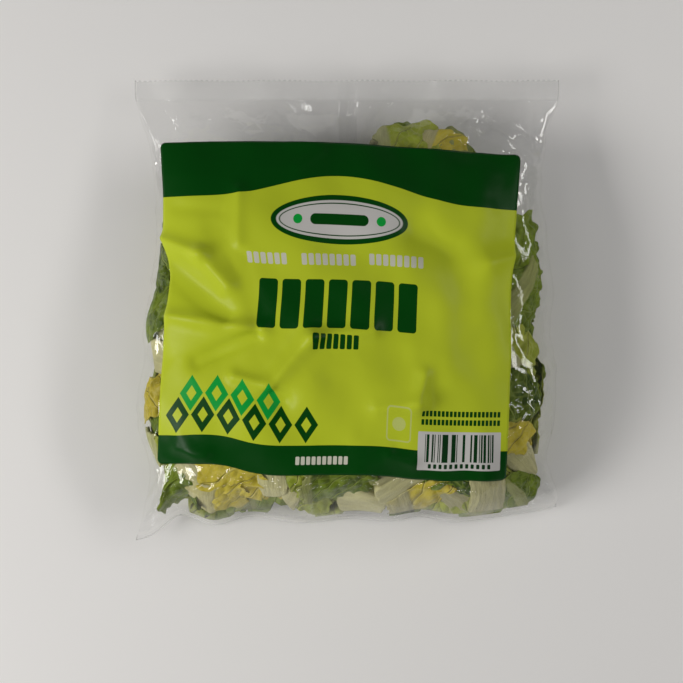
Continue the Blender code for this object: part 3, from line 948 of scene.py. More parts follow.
@dataclass
class Leaves:
    """The chopped leaves: shown pieces first, then seeded ones behind them and round the back."""

    form: BagForm
    skin: Skin
    shallowest: float = 1.3
    softness: float = 1.3
    blade: float = 0.35
    shown_grid: tuple[int, int] = (29, 31)
    fill_grid: tuple[int, int] = (14, 15)
    rib_rise: float = 0.55
    crumple_size: float = 7.0
    crumple_height: float = 1.1
    left_gap: float = 1.0
    right_gap: float = 9.0
    room_share: float = 0.42
    lowest: float = 0.5
    fill_count: int = 330
    fill_seed: int = 23
    fill_along: Pair = (-85.0, 80.0)
    fill_gap: float = 6.0
    fill_reach: float = 0.42
    fill_label_margin: float = 14.0
    fill_corner: Pair = (-70.0, 76.0)
    back_depth: Pair = (1.7, 7.0)
    front_depth: Pair = (6.5, 11.0)
    rib_length: Pair = (24.0, 42.0)
    rib_part: Pair = (20.0, 60.0)
    blade_part: Pair = (80.0, 150.0)
    farthest_from_rib: float = 34.0
    core_grid: tuple[int, int] = (96, 160)
    core_start: float = -82.0
    core_fill_gap: float = 8.0
    core_depth: float = 7.0
    core_room_share: float = 0.47
    core_closing: Pair = (0.10, 0.20)
    core_lowest: float = 0.9
    core_left_share: float = 0.94
    core_right_share: float = 0.86

    def placed(self) -> list[Leaf]:
        """The shown pieces, with their plan places turned into places on the skin.

        Returns:
            The pieces, kind by kind.
        """
        made = []
        for kind, rows in SHOWN_LEAVES.items():
            x, y = np.array(rows, dtype=float).T[:2]
            along = self.form.along_bag(x, y)
            turn = self.skin.turn_at(x, along)
            made += [Leaf(kind, a, t, *row[2:]) for a, t, row in zip(along, turn, rows)]
        return made

    def filled(self) -> list[Leaf]:
        """Seeded pieces over the sides, the ends and the back, each deeper than the shown ones.

        Returns:
            The pieces, in the order in which they are drawn.
        """
        random = np.random.default_rng(self.fill_seed)
        made: list[Leaf] = []
        shares = [FILL_LEAVES[kind][0] for kind in Kind]
        while len(made) < self.fill_count:
            along, turn = random.uniform(*self.fill_along), random.uniform(-1.0, 1.0)
            kind = random.choice(list(Kind), p=shares)
            width, length = random.uniform(*FILL_LEAVES[kind][1:], 2)
            if kind is Kind.RIB:
                length = random.uniform(*self.rib_length)
            place = self.skin.read(self.skin.points, np.array([along]), np.array([turn]))[0]
            half_girth = float(self.skin.half_girth(np.array(along), np.array(turn)))
            from_side = abs(abs(turn) - 0.5) * half_girth
            gap = (self.left_gap if turn < 0 else self.right_gap) + self.fill_reach * max(width, length)
            inside = self.form.inside_label(place[0], place[1])
            hidden = abs(turn) < 0.5 and inside > self.fill_label_margin
            in_corner = along < self.fill_corner[0] and abs(place[0]) > self.fill_corner[1]
            too_high = along > self.form.fill_line(place[0]) - self.fill_gap
            if hidden or in_corner or from_side < gap or too_high:
                continue
            depth = random.uniform(*(self.back_depth if abs(turn) > 0.5 else self.front_depth))
            from_rib = 0.0
            if kind is not Kind.RIB:
                from_rib = random.uniform(0.0, self.farthest_from_rib) * random.choice((-1, 1))
            up_leaf = random.uniform(*(self.rib_part if kind is Kind.RIB else self.blade_part))
            made.append(Leaf(kind, along, turn, width, length, random.uniform(0.0, 360.0), depth,
                             from_rib, up_leaf, random.uniform(0.0, 2.0), random.uniform(0.0, 1.0)))
        return made

    def rib_half_width(self, up_leaf: Array) -> Array:
        """Half width of a leaf's rib: it narrows by a power of the distance up the leaf."""
        return 13.5 * np.maximum(1 - up_leaf / 235.0, 0.0) ** 1.3 + 0.5

    def cut(self, own: list[Leaf], grid: tuple[int, int], seed: int) -> dict[str, Array]:
        """Closed thin wavy solids for pieces of one kind, all on the same grid.

        Each piece is a grid over its cut outline. Its depth under the film is its own depth plus a
        slant, a fold along its rib, a curl that grows with the square of the distance from its
        middle, flat crumples, blisters and ruffles that grow towards its outer margin. Its lower
        face lies one leaf thickness deeper.

        Args:
            own: The pieces.
            grid: Columns and rows of each piece.
            seed: Seed of the uneven cuts and bends.

        Returns:
            Points, faces, UV and the attributes rib, tone, margin and rim, as flat arrays.
        """
        random = np.random.default_rng(seed)
        count, (columns, rows) = len(own), grid
        stiff = own[0].kind is Kind.RIB
        rounding, ragged, rib_thickness, bending = (0.10, 0.4, 0.36, 0.0) if stiff else (0.16, 1.3, 0.20, 1.0)

        def each(name: str) -> Array:
            """One field of every leaf, shaped to spread over its grid."""
            return np.array([getattr(leaf, name) for leaf in own], dtype=float)[:, None, None]

        def drawn(low: float, high: float, *shape: int) -> Array:
            """Seeded numbers for every leaf, shaped to spread over its grid."""
            return random.uniform(low, high, (*shape, count, 1, 1))

        b, a = np.meshgrid(np.linspace(-1, 1, rows), np.linspace(-1, 1, columns), indexing="ij")
        a, b = a[None], b[None]
        jitter, phase = drawn(-0.22, 0.22, 2, 4), drawn(0.0, 2 * np.pi, 6)
        shares = [(1 + i * a) * (1 + j * b) / 4 for i in (-1, 1) for j in (-1, 1)]
        x = (a + sum(share * shift for share, shift in zip(shares, jitter[0]))) * (1 - rounding * b ** 4)
        y = (b + sum(share * shift for share, shift in zip(shares, jitter[1]))) * (1 - rounding * a ** 4)
        x = x * (1 + ragged * (0.05 * np.sin(5.1 * b + phase[0]) + 0.035 * np.sin(13 * b + phase[1])))
        y = y * (1 + ragged * (0.05 * np.sin(4.7 * a + phase[2]) + 0.030 * np.sin(12 * a + phase[3])))
        x, y = x * each("width") / 2, y * each("length") / 2
        from_rib, up_leaf = each("from_rib") + x, each("up_leaf") + y
        half_rib = self.rib_half_width(up_leaf)
        rib = np.sqrt(np.maximum(1 - (from_rib / half_rib) ** 2, 0.0))
        shift = drawn(0.0, 900.0)
        soft = 1 - rib
        blisters = waves(from_rib + shift, up_leaf + shift, 4.0, 11.0, 10, 55) * soft
        crumples = facets(from_rib + shift, up_leaf - shift, self.crumple_size, 56) * (0.25 + 0.75 * soft)
        margin = ease(np.broadcast_to(a, x.shape), 0.0, 1.0)
        rim = ease(np.broadcast_to(np.maximum(np.abs(a), np.abs(b)), x.shape), 0.88, 1.0)
        frill = 1 + np.sin(2 * np.pi * up_leaf / 9.0 + phase[4] + 2 * np.sin(up_leaf / 8.0))
        bend = drawn(-1.8, 1.8) * a + drawn(-1.8, 1.8) * b + drawn(0.4, 2.6) * (a ** 2 + 0.6 * b ** 2)
        fold = 0.06 * np.abs(from_rib) * drawn(0.2, 1.0) * bending
        thick = self.blade + rib * half_rib * rib_thickness
        depth = each("depth") + bend + fold + each("ruffle") * margin * frill - 0.8 * blisters
        depth = depth - self.crumple_height * crumples - self.rib_rise * (thick - self.blade)
        spin = np.radians(each("spin"))
        along = np.clip(each("along") + x * np.sin(spin) + y * np.cos(spin), -97.9, 98.0)
        aside = x * np.cos(spin) - y * np.sin(spin)
        turn = each("turn") + aside / self.skin.half_girth(along, each("turn"))
        place = self.skin.read(self.skin.points, along, turn)
        normal = self.skin.read(self.skin.normals, along, turn)
        room = self.room_share * self.form.inner_height(along)
        under = (depth - self.shallowest) / self.softness
        depth = self.shallowest + self.softness * np.log1p(np.exp(np.minimum(under, 30.0)))
        upper_depth = room * (1 - np.exp(-depth / room)) + 0.1
        lower_depth = np.maximum(np.minimum(upper_depth + thick, room + 0.2), upper_depth + 0.1)
        upper = place - normal * upper_depth[..., None]
        lower = place - normal * lower_depth[..., None]
        points = np.concatenate((upper.reshape(count, -1, 3), lower.reshape(count, -1, 3)), axis=1)
        points[..., 2] = np.maximum(points[..., 2], self.lowest)
        first = np.arange(count) * 2 * rows * columns
        faces = (np.concatenate(slab_faces(rows, columns))[None] + first[:, None, None]).reshape(-1, 4)

        def twice(values: Array) -> Array:
            """Values of the upper face, given again for the lower face."""
            flat = np.broadcast_to(values, x.shape).reshape(count, -1)
            return np.concatenate((flat, flat), axis=1).ravel()

        uv = np.stack((twice(from_rib), twice(up_leaf)), axis=-1) / UV_MM
        return {"points": points.reshape(-1, 3), "faces": faces, "uv": uv, "rib": twice(rib),
                "tone": twice(each("tone")), "margin": twice(margin), "rim": twice(rim)}

    def build_kind(self, kind: Kind, shown: list[Leaf], behind: list[Leaf]) -> Piece:
        """Join all the pieces of one kind in one mesh.

        Args:
            kind: The sort of leaf.
            shown: The pieces that the photograph shows, on a fine grid.
            behind: The pieces behind them, on a coarse grid.

        Returns:
            The piece, with the attributes rib, tone, margin and rim, and the leaf's own places as UV.
        """
        seed = 100 + list(Kind).index(kind)
        cuts = []
        for leaves, grid in ((shown, self.shown_grid), (behind, self.fill_grid)):
            own = [leaf for leaf in leaves if leaf.kind is kind]
            cuts.append(self.cut(own, grid, seed))
            seed += 10
        cuts[1]["faces"] = cuts[1]["faces"] + len(cuts[0]["points"])
        joined = {key: np.concatenate([cut[key] for cut in cuts]) for key in cuts[0]}
        attributes = {key: joined[key] for key in ("rib", "tone", "margin", "rim")}
        return make_piece(kind.value, joined["points"], [joined["faces"]], joined["uv"], attributes)

    def build_core(self) -> Piece:
        """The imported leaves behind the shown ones: the skin drawn in, closed at both ends, with lumps.

        Returns:
            The core piece.
        """
        rows, columns = self.core_grid
        turn = np.broadcast_to(np.linspace(-1.0, 1.0, columns + 1)[None, :-1], (rows, columns))
        share = np.broadcast_to(np.linspace(0.0, 1.0, rows)[:, None], (rows, columns))
        across = self.skin.read(self.skin.points, share * 0, turn)[..., 0]
        along = self.core_start + (self.form.fill_line(across) - self.core_fill_gap - self.core_start) * share
        place = self.skin.read(self.skin.points, along, turn)
        normal = self.skin.read(self.skin.normals, along, turn)
        room = self.core_room_share * self.form.inner_height(along)
        foot, head = self.core_closing
        closing = np.maximum(1 - share / foot, 0.0) ** 2 + np.maximum((share - (1 - head)) / head, 0.0) ** 2
        s = turn * self.skin.half_girth(along, turn)
        lumps = 1.6 * waves(s, along, 14.0, 34.0, 10, 61) + 0.8 * facets(s, along, 9.0, 62)
        depth = np.minimum(self.core_depth + lumps * (1 - np.minimum(closing, 1.0)), room)
        depth = depth + (room - depth) * np.clip(closing, 0.0, 1.0)
        points = place - normal * depth[..., None]
        points[..., 2] = np.maximum(points[..., 2], self.core_lowest)
        points[..., 0] *= np.where(points[..., 0] > 0, self.core_right_share, self.core_left_share)
        uv = np.stack((s, along), axis=-1) / UV_MM
        return make_piece("leaf_core", points, ring_faces(rows, columns), uv)


class Net:
    """Short calls for the nodes of one material or group."""

    def __init__(self, tree: Tree) -> None:
        """Keep the tree."""
        self.tree = tree

    def add(self, kind: str, **settings: object) -> Node:
        """Add a node of a kind and set its properties.

        Args:
            kind: The node's type.
            settings: Its properties, by name.

        Returns:
            The node.
        """
        node = self.tree.nodes.new(kind)
        for key, value in settings.items():
            setattr(node, key, value)
        return node

    def feed(self, socket: Socket, value: object) -> None:
        """Link a socket to an output, or set its own value.

        Args:
            socket: The input.
            value: An output, a number, a vector or a colour.
        """
        if isinstance(value, bpy.types.NodeSocket):
            self.tree.links.new(value, socket)
        elif isinstance(value, tuple) and len(value) == 3 and len(socket.default_value) == 4:
            socket.default_value = (*value, 1.0)
        else:
            socket.default_value = value

    def fill(self, node: Node, values: dict[str | int, object]) -> Node:
        """Feed a node's inputs by name or number."""
        for key, value in values.items():
            self.feed(node.inputs[key], value)
        return node

    def math(self, operation: str, *values: object) -> Socket:
        """Math node on up to three values."""
        node = self.add("ShaderNodeMath", operation=operation)
        return self.fill(node, dict(enumerate(values))).outputs[0]

    def plus(self, *parts: object) -> Socket:
        """Sum of the parts, from left to right."""
        return reduce(lambda total, part: self.math("ADD", total, part), parts)

    def minus(self, whole: object, part: object) -> Socket:
        """Difference of two values."""
        return self.math("SUBTRACT", whole, part)

    def times(self, *parts: object) -> Socket:
        """Product of the parts, from left to right."""
        return reduce(lambda total, part: self.math("MULTIPLY", total, part), parts)

    def vector(self, operation: str, *values: object) -> Socket:
        """Vector Math node; its vector output, or its value for a length.

        Args:
            operation: Blender's name for it.
            values: Its vectors.

        Returns:
            The output.
        """
        node = self.add("ShaderNodeVectorMath", operation=operation)
        self.fill(node, dict(enumerate(values)))
        return node.outputs["Value" if operation == "LENGTH" else "Vector"]

    def mix(self, share: object, low: object, high: object) -> Socket:
        """Colour mix."""
        node = self.add("ShaderNodeMix", data_type="RGBA")
        return self.fill(node, {"Factor": share, 6: low, 7: high}).outputs[2]

    def ramp(self, value: object, start: float, end: float, low: float = 0.0, high: float = 1.0,
             kind: str = "SMOOTHSTEP") -> Socket:
        """Map a value from start..end to low..high, held at both ends."""
        node = self.add("ShaderNodeMapRange", interpolation_type=kind)
        return self.fill(node, dict(enumerate((value, start, end, low, high)))).outputs[0]

    def noise(self, place: object, scale: float, detail: float = 2.0, roughness: float = 0.5) -> Socket:
        """Noise value at a place."""
        values = {"Vector": place, "Scale": scale, "Detail": detail, "Roughness": roughness}
        return self.fill(self.add("ShaderNodeTexNoise"), values).outputs[0]

    def cells(self, place: object, scale: float, feature: str = "F1") -> Socket:
        """Voronoi distance at a place."""
        node = self.add("ShaderNodeTexVoronoi", feature=feature)
        return self.fill(node, {"Vector": place, "Scale": scale}).outputs["Distance"]

    def bump(self, height: object, distance: float, strength: float = 1.0) -> Socket:
        """Bump normal from a height, whose full range stands for a distance in metres."""
        values = {"Strength": strength, "Distance": distance, "Height": height}
        return self.fill(self.add("ShaderNodeBump"), values).outputs[0]

    def attribute(self, name: str) -> Socket:
        """Value of a mesh attribute."""
        return self.add("ShaderNodeAttribute", attribute_name=name).outputs["Fac"]

    def split(self, vector: object) -> tuple[Socket, ...]:
        """X, Y and Z of a vector."""
        return tuple(self.fill(self.add("ShaderNodeSeparateXYZ"), {0: vector}).outputs)

    def join(self, x: object, y: object, z: object = 0.0) -> Socket:
        """Vector from X, Y and Z."""
        return self.fill(self.add("ShaderNodeCombineXYZ"), {0: x, 1: y, 2: z}).outputs[0]

    def uv_mm(self, scale: Triple = (UV_MM, UV_MM, UV_MM)) -> Socket:
        """The piece's UV in millimetres."""
        return self.vector("MULTIPLY", self.add("ShaderNodeUVMap", uv_map="UVMap").outputs[0], scale)

    def group(self, tree: Tree, **inputs: object) -> Node:
        """Place a node group and feed its inputs by name."""
        return self.fill(self.add("ShaderNodeGroup", node_tree=tree), inputs)


def new_material(name: str) -> tuple[Material, Net, Node]:
    """Material with one Principled shader.

    Args:
        name: The material's name.

    Returns:
        The material, its net and its shader node.
    """
    material = bpy.data.materials.new(name)
    material.use_nodes = True
    return material, Net(material.node_tree), material.node_tree.nodes["Principled BSDF"]


def new_group(name: str, inputs: dict[str, str], outputs: tuple[str, ...]) -> tuple[Tree, Net, Node, Node]:
    """Node group with named inputs and outputs.

    Args:
        name: The group's name.
        inputs: The kind of each input, by name.
        outputs: The names of its outputs, which are all values.

    Returns:
        The group, its net and the nodes for its inputs and outputs.
    """
    tree = bpy.data.node_groups.new(name, "ShaderNodeTree")
    for key, kind in inputs.items():
        tree.interface.new_socket(key, in_out="INPUT", socket_type=f"NodeSocket{kind}")
    for key in outputs:
        tree.interface.new_socket(key, in_out="OUTPUT", socket_type="NodeSocketFloat")
    net = Net(tree)
    return tree, net, net.add("NodeGroupInput"), net.add("NodeGroupOutput")


def dress(piece: Piece, material: Material) -> None:
    """Give a piece its one material."""
    piece.data.materials.clear()
    piece.data.materials.append(material)


def grain_group() -> Tree:
    """Node group for fine uneven grain: a value for roughness and a height for a bump.

    Returns:
        The group, with the input Vector and Scale and the outputs Value and Height.
    """
    inputs = {"Vector": "Vector", "Scale": "Float"}
    tree, net, source, sink = new_group("fine_grain", inputs, ("Value", "Height"))
    scale = source.outputs["Scale"]
    place = net.vector("MULTIPLY", source.outputs["Vector"], net.join(scale, scale, scale))
    net.fill(sink, {"Value": net.noise(place, 0.35, 3.0, 0.6), "Height": net.noise(place, 1.0, 2.0, 0.55)})
    return tree


def vein_group() -> Tree:
    """Node group for leaf veins: side veins that fork from the rib and a fine net between them.

    A side vein runs where the distance up the leaf, less a share of the distance from the rib, is a
    multiple of the spacing, shaken by noise.

    Returns:
        The group, with the input Vector in millimetres and the outputs Veins, Net and Height.
    """
    spacing, slant, shake, net_scale = 12.0, 0.85, 16.0, 0.24
    tree, net, source, sink = new_group("leaf_veins", {"Vector": "Vector"}, ("Veins", "Net", "Height"))
    place = source.outputs["Vector"]
    x, y, _ = net.split(place)
    shaken = net.times(net.noise(place, 0.055, 2.0), shake)
    line = net.plus(net.minus(y, net.times(net.math("ABSOLUTE", x), slant)), shaken)
    veins = net.ramp(net.math("PINGPONG", line, spacing / 2), 0.75, 0.12)
    bulge = net.ramp(net.cells(place, net_scale), 0.0, 0.75, 1.0, 0.0)
    fine = net.ramp(net.cells(place, net_scale, "DISTANCE_TO_EDGE"), 0.10, 0.02)
    height = net.minus(net.times(bulge, 0.6), net.times(veins, 0.5))
    net.fill(sink, {"Veins": veins, "Net": fine, "Height": height})
    return tree


@dataclass(frozen=True)
class LeafFinish:
    """Finish of one sort of leaf: blade colours from shade to light, veins, rib and browning."""

    name: str
    dark: Colour
    light: Colour
    vein: Colour
    rib: Colour
    browning: float = 0.0
    brown: Colour = (0.18, 0.075, 0.018)
    rib_shade: float = 0.62
    smoothest: float = 0.26
    roughest: float = 0.47

    def material(self, veins: Tree, grain: Tree) -> Material:
        """Build the leaf's material.

        Args:
            veins: The vein group.
            grain: The grain group.

        Returns:
            The material, which reads the piece's UV and its rib, tone, margin and rim attributes.
        """
        material, net, shader = new_material(self.name)
        rib, tone, margin, rim = (net.attribute(name) for name in ("rib", "tone", "margin", "rim"))
        place = net.vector("ADD", net.uv_mm(), net.join(net.times(tone, 400.0), net.times(tone, 170.0)))
        vein = net.group(veins, Vector=place)
        patch = net.noise(place, 0.07, 3.0, 0.55)
        share = net.plus(net.times(net.ramp(patch, 0.3, 0.7), 0.5), net.times(tone, 0.5))
        colour = net.mix(share, self.dark, self.light)
        for mark, strength in ((vein.outputs["Net"], 0.30), (vein.outputs["Veins"], 0.75), (rim, 0.40)):
            colour = net.mix(net.times(mark, strength), colour, self.vein)
        near_rib = net.ramp(rib, 0.0, 0.55)
        streaks = net.noise(net.vector("MULTIPLY", place, (0.45, 0.07, 1.0)), 1.0, 3.0, 0.6)
        rib_share = net.plus(net.ramp(streaks, 0.38, 0.62, 0.0, 0.55), net.times(tone, 0.45))
        rib_colour = net.mix(rib_share, tuple(self.rib_shade * part for part in self.rib), self.rib)
        rib_colour = net.mix(net.ramp(patch, 0.45, 0.75, 0.0, 0.35), rib_colour, self.vein)
        colour = net.mix(near_rib, colour, rib_colour)
        if self.browning > 0.0:
            spot = net.ramp(net.noise(place, 0.11, 3.0, 0.6), 0.62, 0.70)
            spot = net.times(spot, net.times(net.ramp(margin, 0.2, 1.0), self.browning))
            colour = net.mix(spot, colour, self.brown)
        fine = net.group(grain, Vector=place, Scale=1.4)
        blade = net.times(vein.outputs["Height"], net.minus(1.0, near_rib))
        ridges = net.times(streaks, net.times(near_rib, 0.6))
        height = net.plus(blade, ridges, net.times(fine.outputs["Height"], 0.10))
        rough = net.ramp(fine.outputs["Value"], 0.3, 0.7, self.smoothest, self.roughest)
        net.fill(shader, {"Base Color": colour, "Roughness": rough, "Normal": net.bump(height, 0.0017, 0.9),
                          "IOR": 1.25})
        return material


@dataclass(frozen=True)
class FilmFinish:
    """Finish of the clear film: mirror-like at grazing angles, clear face on, milky at the seals."""

    clear_share: float = 0.034
    loose_share: float = 0.030
    edge_share: float = 0.60
    haze: float = 0.010
    seal_haze: float = 0.10
    crease_haze: float = 0.05
    most_opaque: float = 0.92
    crimp_pitch: float = 1.25
    facets: Points = ((15.0, 0.14), (5.5, 0.09))
    colour: Colour = (0.93, 0.93, 0.91)

    def material(self, grain: Tree) -> Material:
        """Build the film's material.

        Its opacity is Schlick's rule on the facing angle, plus haze at creases and seals. Its fine
        crinkle is the distance to the nearest edge of a cell, which is flat between ridges, for each
        size and slope of facet.

        Args:
            grain: The grain group.

        Returns:
            The material, which reads the seal, crease and loose attributes.
        """
        material, net, shader = new_material("clear_film")
        place = net.uv_mm()
        seal, crease, loose = (net.attribute(name) for name in ("seal", "crease", "loose"))
        facing = net.add("ShaderNodeLayerWeight").outputs["Facing"]
        mirror = net.math("MULTIPLY_ADD", net.math("POWER", facing, 6.0), self.edge_share, self.clear_share)
        cloudy = net.times(net.ramp(net.noise(place, 0.03, 3.0), 0.35, 0.7), self.haze)
        opacity = net.plus(mirror, cloudy, net.times(loose, self.loose_share),
                           net.times(crease, self.crease_haze), net.times(seal, self.seal_haze))
        fine = net.group(grain, Vector=place, Scale=0.5)
        shift = net.times(net.noise(place, 0.08, 2.0), 9.0)
        swayed = net.vector("ADD", place, net.join(shift, shift))
        wave = net.math("SINE", net.times(net.split(place)[1], 2 * np.pi / self.crimp_pitch))
        height = net.times(net.times(wave, seal), 0.12)
        crumpled = net.ramp(net.noise(place, 0.025, 2.0), 0.42, 0.62)
        for size, slope in self.facets:
            roof = net.times(net.cells(swayed, 1.0 / size, "DISTANCE_TO_EDGE"), crumpled)
            height = net.plus(height, net.times(roof, slope * size))
        height = net.plus(height, net.times(fine.outputs["Height"], 0.02))
        rough = net.plus(net.ramp(fine.outputs["Value"], 0.3, 0.7, 0.03, 0.07), net.times(seal, 0.18))
        net.fill(shader, {"Base Color": self.colour, "Alpha": net.math("MINIMUM", opacity, self.most_opaque),
                          "Metallic": net.math("MULTIPLY_ADD", seal, -0.6, 0.95), "Roughness": rough,
                          "Normal": net.bump(height, 0.001)})
        return material


@dataclass
class Paint:
    """Plain shapes laid one over another, at places in millimetres from the print's lower left."""

    net: Net
    place: Socket
    colour: object
    edge: float = 0.07

    def lay(self, mask: object, colour: object) -> None:
        """Lay a colour where a mask is 1."""
        self.colour = self.net.mix(mask, self.colour, colour)

    def inside(self, distance: object) -> Socket:
        """Share inside a shape, from its signed distance, with a soft edge."""
        return self.net.ramp(distance, self.edge, -self.edge, kind="LINEAR")

    def block(self, centre: Pair, size: Pair, radius: float = 0.0, place: object = None) -> Socket:
        """Mask of a rounded rectangle: the length of the offset beyond its inner box, less the radius.

        Args:
            centre: Its middle.
            size: Its width and height.
            radius: The radius of its corners.
            place: Places to use in place of the print's own.

        Returns:
            The mask.
        """
        net, radius = self.net, max(radius, 2 * self.edge)
        offset = net.vector("SUBTRACT", self.place if place is None else place, (*centre, 0.0))
        inner = (size[0] / 2 - radius, size[1] / 2 - radius, 1.0)
        beyond = net.vector("SUBTRACT", net.vector("ABSOLUTE", offset), inner)
        outside = net.vector("LENGTH", net.vector("MAXIMUM", beyond, (0.0, 0.0, 0.0)))
        return self.inside(net.minus(outside, radius))

    def folded(self, left: float, pitch: float) -> Socket:
        """Place across, folded by a pitch, from the middle of each step.

        Args:
            left: Where the first step starts.
            pitch: Width of a step.

        Returns:
            The folded place.
        """
        net = self.net
        step = net.math("FLOORED_MODULO", net.minus(net.split(self.place)[0], left), pitch)
        return net.minus(step, pitch / 2)

    def strip(self, left: float, middle: float, pitch: float, count: int, height: float) -> Socket:
        """Mask of the strip that a row of steps fills."""
        return self.block((left + pitch * count / 2, middle), (pitch * count, height))

    def row(self, left: float, middle: float, pitch: float, count: int, size: Pair, radius: float) -> Socket:
        """Mask of a row of equal blocks: one block on the folded place, cut to the row's strip.

        Args:
            left: Where the row starts.
            middle: Its middle height.
            pitch: Width of a step.
            count: Number of blocks.
            size: Width and height of a block.
            radius: The radius of its corners.

        Returns:
            The mask.
        """
        place = self.net.join(self.folded(left, pitch), self.net.split(self.place)[1])
        strip = self.strip(left, middle, pitch, count, size[1] + 2.0)
        return self.net.times(self.block((0.0, middle), size, radius, place), strip)

    def oval(self, centre: Pair, size: Pair) -> Socket:
        """Mask of an oval: the length of the offset scaled by its half sizes, less one.

        Args:
            centre: Its middle.
            size: Its width and height.

        Returns:
            The mask.
        """
        net = self.net
        offset = net.vector("SUBTRACT", self.place, (*centre, 0.0))
        scaled = net.vector("DIVIDE", offset, (size[0] / 2, size[1] / 2, 1.0))
        return self.inside(net.times(net.minus(net.vector("LENGTH", scaled), 1.0), min(size) / 2))


@dataclass(frozen=True)
class LabelPrint:
    """The label's print, in millimetres from its lower left corner: fields of colour and plain shapes.

    No word is drawn: rows of plain blocks stand where a label has its words.
    """

    width: float = 170.6
    height: float = 151.8
    lime: Colour = (0.515, 0.605, 0.027)
    lime_shade: Colour = (0.485, 0.575, 0.024)
    deep: Colour = (0.0006, 0.055, 0.003)
    middle_green: Colour = (0.004, 0.36, 0.045)
    pale: Colour = (0.60, 0.60, 0.49)
    white: Colour = (0.60, 0.585, 0.56)
    ink: Colour = (0.002, 0.035, 0.006)
    band_depth: float = 26.4
    band_rise: float = 10.3
    band_middle: float = 86.0
    band_half_width: float = 66.0
    foot_height: float = 13.7
    badge_place: Pair = (85.6, 115.6)
    sign_place: Pair = (117.0, 24.8)
    lozenge_pitch: float = 12.6
    bar_module: float = 0.42

    def fields(self, paint: Paint) -> None:
        """Deep top band, whose lower edge rises in one cosine arch, and deep foot on the lime field.

        Args:
            paint: The print so far.
        """
        net = paint.net
        x, y, _ = net.split(paint.place)
        from_middle = net.times(net.minus(x, self.band_middle), np.pi / self.band_half_width)
        held = net.math("MAXIMUM", net.math("MINIMUM", from_middle, np.pi), -np.pi)
        arch = net.times(net.plus(net.math("COSINE", held), 1.0), self.band_rise / 2)
        lower = net.plus(arch, self.height - self.band_depth)
        paint.lay(paint.inside(net.minus(lower, y)), self.deep)
        paint.lay(paint.inside(net.minus(y, self.foot_height)), self.deep)

    def lozenges(self, paint: Paint) -> None:
        """Two rows of plain lozenges in two greens at the lower left, the upper row shorter.

        Args:
            paint: The print so far.
        """
        net, pitch = paint.net, self.lozenge_pitch
        y = net.split(paint.place)[1]
        rows = ((3.0, self.foot_height + 9.4, 6), (9.3, self.foot_height + 19.4, 4))
        for half_width, half_height, colours in ((5.8, 8.4, (self.deep, self.middle_green)),
                                                 (2.5, 3.6, (self.lime, self.lime))):
            for (left, middle, count), colour in zip(rows, colours):
                across = net.math("DIVIDE", net.math("ABSOLUTE", paint.folded(left, pitch)), half_width)
                up = net.math("DIVIDE", net.math("ABSOLUTE", net.minus(y, middle)), half_height)
                rim = net.times(net.minus(net.plus(across, up), 1.0), half_width * 0.75)
                strip = paint.strip(left, middle, pitch, count, 2 * half_height + 1.0)
                paint.lay(net.times(paint.inside(rim), strip), colour)

    def badge(self, paint: Paint) -> None:
        """A plain oval badge with a deep rim, a fine inner ring and a bar between two dots.

        Args:
            paint: The print so far.
        """
        for size, colour in (((66.0, 22.4), self.deep), ((60.8, 17.6), self.white),
                             ((58.2, 15.2), self.deep), ((57.0, 14.1), self.white)):
            paint.lay(paint.oval(self.badge_place, size), colour)
        paint.lay(paint.block(self.badge_place, (28.0, 5.0), 2.5), self.deep)
        x, y = self.badge_place
        for side in (-1, 1):
            paint.lay(paint.oval((x + side * 20.0, y), (4.4, 4.4)), self.middle_green)

    def words(self, paint: Paint) -> None:
        """Rows of plain blocks in the places of the label's words.

        Args:
            paint: The print so far.
        """
        for colour, *row in (
                (self.pale, 39.6, 97.5, 3.4, 6, (2.5, 5.2), 0.7),
                (self.pale, 66.4, 97.4, 3.4, 8, (2.5, 5.2), 0.7),
                (self.pale, 99.4, 98.2, 3.4, 8, (2.5, 5.2), 0.7),
                (self.deep, 44.4, 77.2, 11.5, 7, (9.3, 22.2), 1.6),
                (self.deep, 73.2, 60.3, 3.3, 7, (2.5, 6.6), 0.6),
                (self.pale, 67.4, 6.8, 2.6, 10, (1.9, 3.8), 0.5),
                (self.deep, 127.4, 30.6, 1.96, 20, (1.4, 2.6), 0.3),
                (self.deep, 127.4, 26.7, 1.96, 20, (1.4, 2.6), 0.3)):
            paint.lay(paint.row(*row), colour)

    def sign(self, paint: Paint) -> None:
        """A faint plain sign: a frame with a dot in it.

        Args:
            paint: The print so far.
        """
        net, place = paint.net, self.sign_place
        frame_mask = net.minus(paint.block(place, (12.0, 16.5), 2.0), paint.block(place, (10.6, 15.1), 1.4))
        paint.lay(net.times(net.plus(frame_mask, paint.oval(place, (6.4, 6.4))), 0.30), self.pale)

    def bars(self, paint: Paint) -> None:
        """A white panel with seeded bars of one or more modules, and a row of plain blocks under them.

        Args:
            paint: The print so far.
        """
        net = paint.net
        paint.lay(paint.block((146.7, 13.6), (40.6, 17.6), 0.5), self.white)
        across = net.minus(net.split(paint.place)[0], 129.8)
        module = net.math("FLOOR", net.math("DIVIDE", across, self.bar_module))
        draw = net.add("ShaderNodeTexWhiteNoise", noise_dimensions="1D")
        net.feed(draw.inputs["W"], net.plus(module, 7.5))
        dark = net.math("GREATER_THAN", draw.outputs["Value"], 0.5)
        paint.lay(net.times(dark, paint.block((146.7, 14.9), (33.6, 12.6))), self.ink)
        paint.lay(paint.row(131.2, 6.7, 2.6, 12, (1.5, 2.1), 0.4), self.ink)

